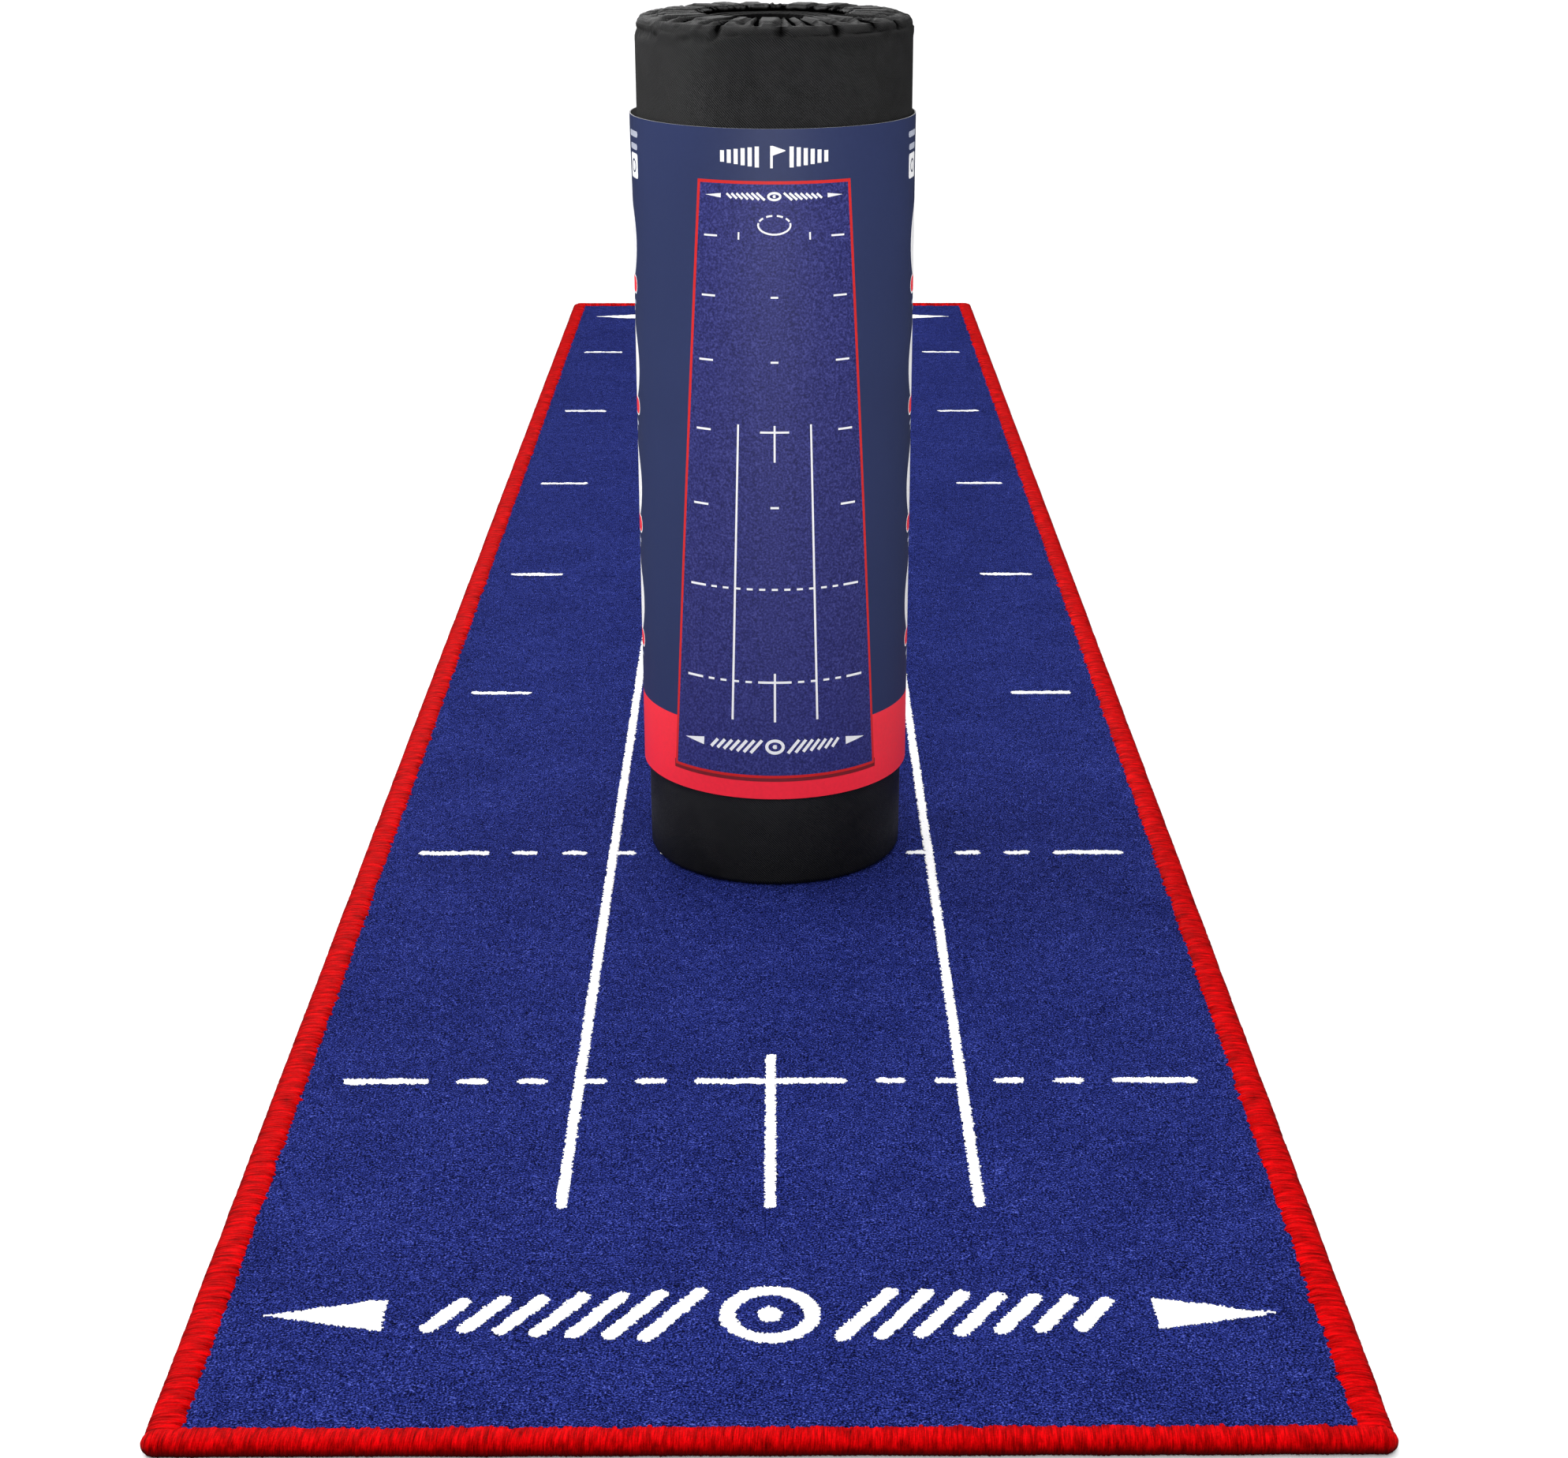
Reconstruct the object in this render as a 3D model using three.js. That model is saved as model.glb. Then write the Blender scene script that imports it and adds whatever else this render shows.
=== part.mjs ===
// Practice putting mat: one mat laid out flat, and the same kind of mat rolled up in its carry bag,
// with a card sleeve around the bag. The origin is the centre of the laid mat's underside.
// +Y runs along the mat, +X across it and +Z up. All sizes are in millimetres.

import * as THREE from 'three';

// Clearance that is left between two pieces that touch.
const GAP = 0.3;

// The laid mat.
const MAT_LENGTH = 2400;
const MAT_WIDTH = 500;
const BACKING_THICKNESS = 2.2;
const MAT_THICKNESS = 6;
const TURF_BOTTOM = BACKING_THICKNESS + GAP;

// The overlocked binding laps over the edge of the backing and closes its side.
const BINDING_WIDTH = 15;
const BINDING_HEIGHT = 6.6;
const BINDING_WALL = 2;
const BINDING_ROUNDING = 2.2;

// Each end of the mat can be lifted along a line this far from the end.
const END_SECTION = 440;

// The carry bag, a round bag that stands on the mat. Heights are above the bag's foot.
const BAG_X = 2.5;
const BAG_Y = -567;
const BAG_FOOT = MAT_THICKNESS + GAP;
const BAG_CLOTH = 0.8;
const BAG_FOOT_RADIUS = 77.6;
const BAG_SHOULDER_RADIUS = 78.9;
const BAG_BASE_ROUNDING = 1.6;
const BAG_BASE_RADIUS = 72;
const BAG_WALL_HEIGHT = 497;
const GATHER_RISE = 3;
const GATHER_THICKNESS = 1.2;
const GATHER_ROUNDING = 3;
const GATHER_INNER_RADIUS = 44;
const ELASTIC_RADIUS = 42;
const ELASTIC_THICKNESS = 3.2;

// The rolled mat is a true spiral of the same length, width and thickness as the laid one.
const ROLL_CORE_RADIUS = 20;
const ROLL_OUTER_RADIUS = 76.3;
const ROLL_FOOT = BAG_CLOTH + GAP;

// The gathered cloth lies just above the roll.
const GATHER_UNDERSIDE = ROLL_FOOT + MAT_WIDTH + GAP;

// The card sleeve around the bag.
const SLEEVE_BOTTOM = 57.5;
const SLEEVE_HEIGHT = 391;
const SLEEVE_INNER_RADIUS = 80.3;
const SLEEVE_CARD = 0.7;
const SLEEVE_LAP_ANGLE = 0.3;
const SLEEVE_LAP_START = Math.PI / 2;

// How finely curves are divided.
const ROUND_SEGMENTS = 56;
const SPIRAL_SEGMENTS_PER_TURN = 24;
const CORNER_SEGMENTS = 4;

const TURF_BLUE = new THREE.Color(0x232d74);
const BACKING_GREY = new THREE.Color(0x2a2b2e);
const YARN_RED = new THREE.Color(0xd8141d);
const YARN_BLACK = new THREE.Color(0x17171a);
const BAG_BLACK = new THREE.Color(0x232323);
const SLEEVE_NAVY = new THREE.Color(0x323e68);

const mat = new THREE.Group();
mat.name = 'practice_putting_mat';

// Adds one named piece with a matt material of its own.
function addPiece(name, geometry, color, roughness, parent = mat) {
  const material = new THREE.MeshStandardMaterial({ color, roughness, metalness: 0 });
  const mesh = new THREE.Mesh(geometry, material);
  mesh.name = name;
  parent.add(mesh);
  return mesh;
}

function makeShape(points) {
  return new THREE.Shape(points.map(([x, y]) => new THREE.Vector2(x, y)));
}

// Extrudes an outline from its own z = 0 up to the given depth.
function extrude(points, depth) {
  return new THREE.ExtrudeGeometry(makeShape(points), { depth, bevelEnabled: false });
}

// Turns a closed or axis-to-axis profile of [radius, height] points about +Z.
function revolve(profile, segments = ROUND_SEGMENTS) {
  const points = profile.map(([r, z]) => new THREE.Vector2(r, z));
  return new THREE.LatheGeometry(points, segments).rotateX(Math.PI / 2);
}

// Points on an arc about (cx, cy), from one angle to another, ends included.
function arc(cx, cy, radius, from, to, segments = CORNER_SEGMENTS) {
  const points = [];
  for (let i = 0; i <= segments; i += 1) {
    const angle = from + ((to - from) * i) / segments;
    points.push([cx + radius * Math.cos(angle), cy + radius * Math.sin(angle)]);
  }
  return points;
}

// The binding's section: distance in from the mat's edge, and height. Its top is domed.
function bindingSection() {
  const r = BINDING_ROUNDING;
  return [
    [0, 0],
    [BINDING_WALL, 0],
    [BINDING_WALL, TURF_BOTTOM],
    [BINDING_WIDTH, TURF_BOTTOM],
    ...arc(BINDING_WIDTH - r, BINDING_HEIGHT - r, r, 0, Math.PI / 2),
    ...arc(r, BINDING_HEIGHT - r, r, Math.PI / 2, Math.PI),
  ];
}

// A flat layer of the mat, centred on x = 0, between two places along the mat.
function addLayer(name, halfWidth, from, to, bottom, top, color, roughness) {
  const geometry = new THREE.BoxGeometry(2 * halfWidth, to - from, top - bottom);
  const mesh = addPiece(name, geometry, color, roughness);
  mesh.position.set(0, (from + to) / 2, (bottom + top) / 2);
}

// A side binding between two places along the mat. side is -1 on the left and 1 on the right.
function addSideBinding(name, side, from, to) {
  const points = bindingSection().map(([inward, z]) => [side * (MAT_WIDTH / 2 - inward), z]);
  const geometry = extrude(points, to - from).rotateX(Math.PI / 2);
  addPiece(name, geometry, YARN_RED, 0.85).position.y = to;
}

// An end binding across the whole mat. end is -1 at the near end and 1 at the far end.
function addEndBinding(name, end) {
  const points = bindingSection().map(([inward, z]) => [end * (MAT_LENGTH / 2 - inward), z]);
  const geometry = extrude(points, MAT_WIDTH).rotateX(Math.PI / 2).rotateZ(Math.PI / 2);
  addPiece(name, geometry, YARN_RED, 0.85).position.x = -MAT_WIDTH / 2;
}

// One section of the laid mat. A section that ends at the mat's end stops short there of the binding.
function addMatSection(suffix, from, to) {
  const atNearEnd = from <= -MAT_LENGTH / 2;
  const atFarEnd = to >= MAT_LENGTH / 2;
  const start = atNearEnd ? -MAT_LENGTH / 2 : from + GAP / 2;
  const stop = atFarEnd ? MAT_LENGTH / 2 : to - GAP / 2;
  const underWall = BINDING_WALL + GAP;
  const besideBinding = BINDING_WIDTH + GAP;

  addLayer(
    `backing_${suffix}`,
    MAT_WIDTH / 2 - underWall,
    atNearEnd ? start + underWall : start,
    atFarEnd ? stop - underWall : stop,
    0,
    BACKING_THICKNESS,
    BACKING_GREY,
    0.9,
  );
  const topStart = atNearEnd ? start + besideBinding : start;
  const topStop = atFarEnd ? stop - besideBinding : stop;
  addLayer(
    `turf_${suffix}`,
    MAT_WIDTH / 2 - besideBinding,
    topStart,
    topStop,
    TURF_BOTTOM,
    MAT_THICKNESS,
    TURF_BLUE,
    0.95,
  );
  addSideBinding(`left_binding_${suffix}`, -1, topStart, topStop);
  addSideBinding(`right_binding_${suffix}`, 1, topStart, topStop);
}

function addLaidMat() {
  const fold = MAT_LENGTH / 2 - END_SECTION;
  addMatSection('near_end', -MAT_LENGTH / 2, -fold);
  addMatSection('middle', -fold, fold);
  addMatSection('far_end', fold, MAT_LENGTH / 2);
  addEndBinding('front_binding', -1);
  addEndBinding('rear_binding', 1);
}

// The bag's tube of cloth: it turns in at the foot and widens slightly towards the shoulder.
function bagWallProfile() {
  const outer = BAG_BASE_ROUNDING;
  const inner = outer - BAG_CLOTH;
  const cornerRadius = BAG_FOOT_RADIUS - outer;
  const down = -Math.PI / 2;
  return [
    [BAG_BASE_RADIUS + GAP, 0],
    ...arc(cornerRadius, outer, outer, down, 0),
    [BAG_SHOULDER_RADIUS, BAG_WALL_HEIGHT],
    [BAG_SHOULDER_RADIUS - BAG_CLOTH, BAG_WALL_HEIGHT],
    ...arc(cornerRadius, outer, inner, 0, down),
    [BAG_BASE_RADIUS + GAP, BAG_CLOTH],
    [BAG_BASE_RADIUS + GAP, 0],
  ];
}

// The gathered cloth turns in from the shoulder over the top of the roll, and rises to the mouth.
function gatheredTopProfile() {
  const bottom = BAG_WALL_HEIGHT + GAP;
  const shoulderTop = GATHER_UNDERSIDE + GATHER_THICKNESS;
  const r = GATHER_ROUNDING;
  const inside = BAG_SHOULDER_RADIUS - BAG_CLOTH;
  return [
    [inside, bottom],
    [BAG_SHOULDER_RADIUS, bottom],
    ...arc(BAG_SHOULDER_RADIUS - r, shoulderTop - r, r, 0, Math.PI / 2),
    [GATHER_INNER_RADIUS, shoulderTop + GATHER_RISE],
    [GATHER_INNER_RADIUS, GATHER_UNDERSIDE + GATHER_RISE],
    [inside - BAG_CLOTH, GATHER_UNDERSIDE],
    [inside, GATHER_UNDERSIDE - BAG_CLOTH],
    [inside, bottom],
  ];
}

function addBag(bag) {
  addPiece('bag_wall', revolve(bagWallProfile()), BAG_BLACK, 0.8, bag);
  const disc = [
    [0, 0],
    [BAG_BASE_RADIUS, 0],
    [BAG_BASE_RADIUS, BAG_CLOTH],
    [0, BAG_CLOTH],
  ];
  addPiece('bag_base', revolve(disc), BAG_BLACK, 0.8, bag);
  addPiece('gathered_top', revolve(gatheredTopProfile()), BAG_BLACK, 0.8, bag);
  const elastic = new THREE.TorusGeometry(ELASTIC_RADIUS, ELASTIC_THICKNESS / 2, 8, ROUND_SEGMENTS);
  const mouthTop = GATHER_UNDERSIDE + GATHER_THICKNESS + GATHER_RISE;
  addPiece('hem_elastic', elastic, BAG_BLACK, 0.85, bag).position.z = mouthTop;
}

// The roll is an Archimedean spiral. Its middle line is as long as the mat.
const ROLL_MEAN_SUM = ROLL_CORE_RADIUS + ROLL_OUTER_RADIUS;
const ROLL_TURNS = MAT_LENGTH / (Math.PI * ROLL_MEAN_SUM);
const ROLL_PITCH = (ROLL_OUTER_RADIUS - MAT_THICKNESS - ROLL_CORE_RADIUS) / ROLL_TURNS;

// Radius of the mat's inner face in the roll, the turf side, at a number of turns from the core.
function rollRadius(turns) {
  return ROLL_CORE_RADIUS + ROLL_PITCH * turns;
}

// Places along the spiral, in turns: both ends, and whole steps of a turn between them, so that the
// facets of neighbouring turns line up.
function spiralPlaces(fromTurns, toTurns) {
  const step = 1 / SPIRAL_SEGMENTS_PER_TURN;
  const places = [fromTurns];
  for (let k = Math.ceil(fromTurns / step + 0.2); k * step < toTurns - 0.2 * step; k += 1) {
    places.push(k * step);
  }
  places.push(toTurns);
  return places;
}

// A band of the roll between two places along the spiral, and between two depths from its turf side.
function spiralBand(fromTurns, toTurns, nearDepth, farDepth, height) {
  const near = [];
  const far = [];
  for (const turns of spiralPlaces(fromTurns, toTurns)) {
    const angle = 2 * Math.PI * turns;
    const radius = rollRadius(turns);
    const nearRadius = radius + nearDepth;
    const farRadius = radius + farDepth;
    near.push([nearRadius * Math.cos(angle), nearRadius * Math.sin(angle)]);
    far.push([farRadius * Math.cos(angle), farRadius * Math.sin(angle)]);
  }
  return extrude([...near, ...far.reverse()], height);
}

function addRolledMat(bag) {
  const turnsIn = (distance, radius) => distance / (2 * Math.PI * radius);
  const innerEnd = turnsIn(BINDING_WIDTH, ROLL_CORE_RADIUS + MAT_THICKNESS / 2);
  const outerEnd = ROLL_TURNS - turnsIn(BINDING_WIDTH, ROLL_OUTER_RADIUS - MAT_THICKNESS / 2);
  const gapIn = turnsIn(GAP, ROLL_CORE_RADIUS);
  const gapOut = turnsIn(GAP, ROLL_OUTER_RADIUS);
  const from = innerEnd + gapIn;
  const to = outerEnd - gapOut;
  const turfDepth = MAT_THICKNESS - TURF_BOTTOM;
  const layerHeight = MAT_WIDTH - 2 * (BINDING_WIDTH + GAP);
  const layerFoot = ROLL_FOOT + BINDING_WIDTH + GAP;

  const turf = spiralBand(from, to, 0, turfDepth, layerHeight);
  addPiece('roll_turf', turf, TURF_BLUE, 0.95, bag).position.z = layerFoot;
  const backing = spiralBand(from, to, turfDepth + GAP, MAT_THICKNESS, layerHeight);
  addPiece('roll_backing', backing, BACKING_GREY, 0.9, bag).position.z = layerFoot;

  const edge = () => spiralBand(from, to, 0, MAT_THICKNESS, BINDING_WIDTH);
  addPiece('roll_binding_bottom', edge(), YARN_BLACK, 0.85, bag).position.z = ROLL_FOOT;
  const topFoot = ROLL_FOOT + MAT_WIDTH - BINDING_WIDTH;
  addPiece('roll_binding_top', edge(), YARN_BLACK, 0.85, bag).position.z = topFoot;

  const inner = spiralBand(0, innerEnd, 0, MAT_THICKNESS, MAT_WIDTH);
  addPiece('roll_binding_inner_end', inner, YARN_BLACK, 0.85, bag).position.z = ROLL_FOOT;
  const outer = spiralBand(outerEnd, ROLL_TURNS, 0, MAT_THICKNESS, MAT_WIDTH);
  addPiece('roll_binding_outer_end', outer, YARN_BLACK, 0.85, bag).position.z = ROLL_FOOT;
}

// One card wrapped round the bag. Its last stretch rises and laps over its first, at the back.
function addSleeve(bag) {
  const rise = SLEEVE_CARD + GAP;
  const total = 2 * Math.PI + SLEEVE_LAP_ANGLE;
  const rampEnd = 2 * Math.PI - SLEEVE_LAP_ANGLE / 2;
  const rampStart = rampEnd - SLEEVE_LAP_ANGLE;
  const steps = ROUND_SEGMENTS + 12;
  const inner = [];
  const outer = [];
  for (let i = 0; i <= steps; i += 1) {
    const angle = (total * i) / steps;
    const ramp = THREE.MathUtils.smoothstep(angle, rampStart, rampEnd);
    const radius = SLEEVE_INNER_RADIUS + rise * ramp;
    const turned = angle + SLEEVE_LAP_START;
    inner.push([radius * Math.cos(turned), radius * Math.sin(turned)]);
    const face = radius + SLEEVE_CARD;
    outer.push([face * Math.cos(turned), face * Math.sin(turned)]);
  }
  const geometry = extrude([...inner, ...outer.reverse()], SLEEVE_HEIGHT);
  addPiece('card_sleeve', geometry, SLEEVE_NAVY, 0.45, bag).position.z = SLEEVE_BOTTOM;
}

addLaidMat();

const baggedRoll = new THREE.Group();
baggedRoll.position.set(BAG_X, BAG_Y, BAG_FOOT);
mat.add(baggedRoll);
addBag(baggedRoll);
addRolledMat(baggedRoll);
addSleeve(baggedRoll);

export default mat;
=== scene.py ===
import math

import bmesh
import bpy
import numpy as np
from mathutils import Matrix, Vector


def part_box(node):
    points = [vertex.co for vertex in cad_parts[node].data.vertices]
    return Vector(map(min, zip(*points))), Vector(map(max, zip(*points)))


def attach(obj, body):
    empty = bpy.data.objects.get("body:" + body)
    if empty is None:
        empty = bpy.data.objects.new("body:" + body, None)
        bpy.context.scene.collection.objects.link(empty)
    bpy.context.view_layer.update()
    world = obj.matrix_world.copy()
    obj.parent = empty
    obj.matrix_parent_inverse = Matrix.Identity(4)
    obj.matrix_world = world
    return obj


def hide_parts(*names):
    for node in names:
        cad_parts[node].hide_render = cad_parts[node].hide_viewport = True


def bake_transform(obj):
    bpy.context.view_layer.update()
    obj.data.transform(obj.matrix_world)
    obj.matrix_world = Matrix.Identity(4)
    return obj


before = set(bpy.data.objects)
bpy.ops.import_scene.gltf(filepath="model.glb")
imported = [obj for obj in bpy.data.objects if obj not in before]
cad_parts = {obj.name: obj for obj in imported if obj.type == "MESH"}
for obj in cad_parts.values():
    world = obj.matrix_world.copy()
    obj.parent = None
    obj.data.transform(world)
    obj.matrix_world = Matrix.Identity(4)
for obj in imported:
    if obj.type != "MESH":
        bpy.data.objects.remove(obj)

# The looks of the practice putting mat: the mat laid flat, and a rolled one in its bag and sleeve.
# All lengths are in metres, in the frame of the CAD model.
MM = 0.001
ROUND = 2 * math.pi
UP = (0, 0, 1)
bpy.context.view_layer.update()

# Places taken from the CAD model.
front_lo, front_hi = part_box("front_binding")
turf_lo, turf_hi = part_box("turf_middle")
wall_lo, wall_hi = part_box("bag_wall")
card_lo, card_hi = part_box("card_sleeve")

HALF_WIDTH = front_hi.x
NEAR_END = front_lo.y
FAR_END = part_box("rear_binding")[1].y
LENGTH = FAR_END - NEAR_END
BINDING_WIDTH = front_hi.y - front_lo.y
PILE_TOP = turf_hi.z
BACKING_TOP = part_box("backing_middle")[1].z
BAG_CENTRE = (wall_lo + wall_hi) / 2
BAG_AXIS = np.array((BAG_CENTRE.x, BAG_CENTRE.y, 0))
BAG_FOOT = wall_lo.z
BAG_RADIUS = (wall_hi.x - wall_lo.x) / 2


# ------------------------ noise and meshes


def smooth(t):
    return t * t * (3 - 2 * t)


def eased(t):
    """A smooth step: 0 up to t = 0, and 1 from t = 1."""
    return smooth(np.clip(t, 0, 1))


def outward(angle):
    """Level unit vectors at the given angles."""
    return np.stack([np.cos(angle), np.sin(angle), np.zeros_like(angle)], -1)


def make_noise(seed, size=256):
    """A repeating, smooth noise from -1 to 1: a function of x, y and the size of its lumps."""
    table = np.random.default_rng(seed).random((size, size)) * 2 - 1

    def noise(x, y, lump):
        u, v = np.asarray(x) / lump, np.asarray(y) / lump
        iu, iv = np.floor(u).astype(int), np.floor(v).astype(int)
        fu, fv = smooth(u - iu), smooth(v - iv)
        low = table[iu % size, iv % size] * (1 - fu) + table[(iu + 1) % size, iv % size] * fu
        high = table[iu % size, (iv + 1) % size] * (1 - fu) + table[(iu + 1) % size, (iv + 1) % size] * fu
        return low * (1 - fv) + high * fv

    return noise


def make_object(name, points, faces, materials, smooth_shade=True):
    """A mesh object from an array of points and a list of faces."""
    mesh = bpy.data.meshes.new(name)
    mesh.from_pydata(np.asarray(points).tolist(), [], faces)
    for material in materials:
        mesh.materials.append(material)
    mesh.polygons.foreach_set("use_smooth", [smooth_shade] * len(mesh.polygons))
    mesh.update()
    obj = bpy.data.objects.new(name, mesh)
    bpy.context.scene.collection.objects.link(obj)
    return obj


def grid_faces(rows, columns, wrap_columns=False, wrap_rows=False, first=0):
    """Quads over a grid of rows x columns points, numbered along each row."""
    i = np.arange(rows if wrap_rows else rows - 1)[:, None]
    j = np.arange(columns if wrap_columns else columns - 1)[None, :]
    nexti, nextj = (i + 1) % rows, (j + 1) % columns
    quads = np.stack([i * columns + j, i * columns + nextj, nexti * columns + nextj, nexti * columns + j], -1)
    return (quads.reshape(-1, 4) + first).tolist()


def fix_normals(obj):
    work = bmesh.new()
    work.from_mesh(obj.data)
    bmesh.ops.recalc_face_normals(work, faces=work.faces)
    work.to_mesh(obj.data)
    work.free()
    return obj


def sweep(name, path, across, up, section, materials, closed_path=False):
    """A closed outline carried along a path of n points. across and up are one unit vector, or n of them.

    section is an array of m points, or of n x m points: distance across and height up.
    """
    n = len(path)
    across, up = (np.broadcast_to(np.asarray(axis, float), path.shape)[:, None, :] for axis in (across, up))
    section = np.broadcast_to(section, (n, *np.shape(section)[-2:]))
    m = section.shape[1]
    points = path[:, None, :] + section[..., :1] * across + section[..., 1:] * up
    faces = grid_faces(n, m, wrap_columns=True, wrap_rows=closed_path)
    if not closed_path:
        faces.append(list(range(m))[::-1])
        faces.append([(n - 1) * m + k for k in range(m)])
    return fix_normals(make_object(name, points.reshape(-1, 3), faces, materials))


def store_vector(obj, name, values):
    """Keeps a vector for each point of the mesh, for its material to read."""
    attribute = obj.data.attributes.new(name, "FLOAT_VECTOR", "POINT")
    attribute.data.foreach_set("vector", np.asarray(values, np.float32).ravel())


def keep_square_edges(obj):
    """Smooth along the sheet, sharp at its square edges."""
    bpy.context.view_layer.objects.active = obj
    obj.select_set(True)
    bpy.ops.object.shade_smooth_by_angle(angle=math.radians(40))
    obj.select_set(False)


def thicken(obj, thickness, offset):
    """Gives a cloth its thickness: inwards with an offset of -1, to both sides with 0."""
    modifier = obj.modifiers.new("cloth_thickness", "SOLIDIFY")
    modifier.thickness = thickness
    modifier.offset = offset


def declare(obj, slot, body, *nodes, bending=False):
    """Hides the CAD nodes the piece stands for, and hangs the piece on its body. slot is not used.

    A bending piece has its transform baked into its mesh instead of hanging on its body.
    """
    if nodes:
        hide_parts(*nodes)
    if bending:
        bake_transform(obj)
    else:
        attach(obj, body)


# ------------------------ materials


class Tree:
    """A node tree, with short ways to add and link its nodes."""

    def __init__(self, tree):
        self.tree = tree

    def put(self, socket, value):
        """Feeds a socket with a node's output, a number, or three numbers as a colour or vector."""
        if isinstance(value, bpy.types.NodeSocket):
            self.tree.links.new(value, socket)
        elif isinstance(value, tuple):
            socket.default_value = (*value, 1)[:len(socket.default_value)]
        else:
            socket.default_value = value

    def add(self, kind, sockets=None, **settings):
        """A new node, its settings, and what feeds its sockets."""
        node = self.tree.nodes.new(kind)
        for key, value in settings.items():
            setattr(node, key, value)
        for key, value in (sockets or {}).items():
            self.put(node.inputs[key], value)
        return node

    def math(self, operation, a, b=None):
        sockets = {0: a} if b is None else {0: a, 1: b}
        return self.add("ShaderNodeMath", sockets, operation=operation).outputs[0]

    def blend_of(self, *shares):
        """A sum of (value, share) pairs."""
        total = self.math("MULTIPLY", *shares[0])
        for value, share in shares[1:]:
            total = self.math("ADD", total, self.math("MULTIPLY", value, share))
        return total

    def axes(self, vector):
        return self.add("ShaderNodeSeparateXYZ", {0: vector}).outputs

    def between(self, value, low, high):
        """A value from low to high, as the given one goes from 0 to 1."""
        sockets = {"Value": value, "To Min": low, "To Max": high}
        return self.add("ShaderNodeMapRange", sockets).outputs["Result"]


class Nodes(Tree):
    """One material: its shader and what feeds it."""

    def __init__(self, name, roughness=0.9, sheen=0.0, specular=0.3, tint=(1, 1, 1)):
        self.material = bpy.data.materials.new(name)
        self.material.use_nodes = True
        super().__init__(self.material.node_tree)
        self.feed("Roughness", roughness)
        self.feed("Specular IOR Level", specular)
        self.feed("Specular Tint", tint)
        self.feed("Sheen Weight", sheen)
        self.place = self.add("ShaderNodeTexCoord").outputs["Object"]

    def feed(self, name, value):
        self.put(self.tree.nodes["Principled BSDF"].inputs[name], value)

    def attribute(self, name):
        return self.add("ShaderNodeAttribute", attribute_name=name).outputs["Vector"]

    def noise(self, size, detail=2.0, place=None, roughness=0.5):
        """Noise from 0 to 1 whose lumps are about size across, or three sizes for its three axes."""
        place = place or self.place
        if isinstance(size, tuple):
            scale = tuple(1 / length for length in size)
            place = self.add("ShaderNodeMapping", {"Scale": scale, "Vector": place}).outputs["Vector"]
            size = 1.0
        sockets = {"Scale": 1 / size, "Detail": detail, "Roughness": roughness, "Vector": place}
        return self.add("ShaderNodeTexNoise", sockets).outputs["Fac"]

    def ramp(self, value, stops):
        """A colour from a value. stops are (place, (r, g, b))."""
        node = self.add("ShaderNodeValToRGB", {"Fac": value})
        elements = node.color_ramp.elements
        while len(elements) < len(stops):
            elements.new(0.5)
        for element, (where, color) in zip(elements, stops):
            element.position = where
            element.color = (*color, 1)
        return node.outputs["Color"]

    def mix(self, factor, a, b):
        node = self.add("ShaderNodeMix", data_type="RGBA")
        for socket, value in zip([s for s in node.inputs if s.enabled], (factor, a, b)):
            self.put(socket, value)
        return next(s for s in node.outputs if s.enabled)

    def color(self, source):
        self.feed("Base Color", source)

    def roughness(self, source, low, high):
        self.feed("Roughness", self.between(source, low, high))

    def bump(self, height, distance, strength=1.0):
        node = self.add("ShaderNodeBump", {"Height": height, "Distance": distance, "Strength": strength})
        self.feed("Normal", node.outputs["Normal"])


def turf_material():
    m = Nodes("turf_pile", roughness=0.95, specular=0.04)
    fine = m.noise(0.95 * MM, detail=1.5, roughness=0.7)
    tufts = m.noise(3.6 * MM, detail=2)
    broad = m.noise(70 * MM, detail=2)
    value = m.blend_of((fine, 0.8), (tufts, 0.15), (broad, 0.05))
    pit, dark, low = (0.0003, 0.0006, 0.009), (0.0016, 0.003, 0.035), (0.0054, 0.0096, 0.078)
    mid, light, tip = (0.0118, 0.0192, 0.145), (0.0285, 0.0435, 0.27), (0.12, 0.155, 0.56)
    m.color(m.ramp(value, [(0.34, pit), (0.42, dark), (0.47, low), (0.52, mid), (0.6, light), (0.71, tip)]))
    m.bump(fine, 1.0 * MM, 1.0)
    return m.material


def print_on_pile_material():
    m = Nodes("white_print", roughness=0.9, specular=0.1)
    fine = m.noise(1.0 * MM, detail=3, roughness=0.6)
    bare, darkened, full = (0.1, 0.13, 0.4), (0.72, 0.75, 0.86), (0.93, 0.93, 0.94)
    m.color(m.ramp(fine, [(0.27, bare), (0.33, darkened), (0.42, full)]))
    m.bump(fine, 0.4 * MM, 0.5)
    return m.material


def yarn_material(name, stops, outer, tint):
    """Yarn wound round an edge. The mesh's wrap vector is the distance along the edge, the distance round the
    binding, and how much painted shade the point takes: the outer side of the bead is painted darker towards
    its foot, in the outer colour."""
    m = Nodes(name, roughness=0.5, specular=0.03, tint=tint)
    wrap = m.attribute("wrap")
    strands = m.noise((0.5 * MM, 9 * MM, 1), place=wrap, roughness=0.6)
    bundles = m.noise((2.4 * MM, 14 * MM, 1), detail=1, place=wrap)
    fuzz = m.noise(0.8 * MM)
    value = m.blend_of((strands, 0.5), (bundles, 0.35), (fuzz, 0.15))
    # Painted shade: on the outer side near the foot the yarn's colour is mixed towards the darker outer
    # colour.
    m.color(m.mix(m.axes(wrap)[2], m.ramp(value, stops), outer))
    m.roughness(strands, 0.38, 0.7)
    m.bump(m.blend_of((strands, 0.8), (fuzz, 0.2)), 0.4 * MM, 0.75)
    return m.material


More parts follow.
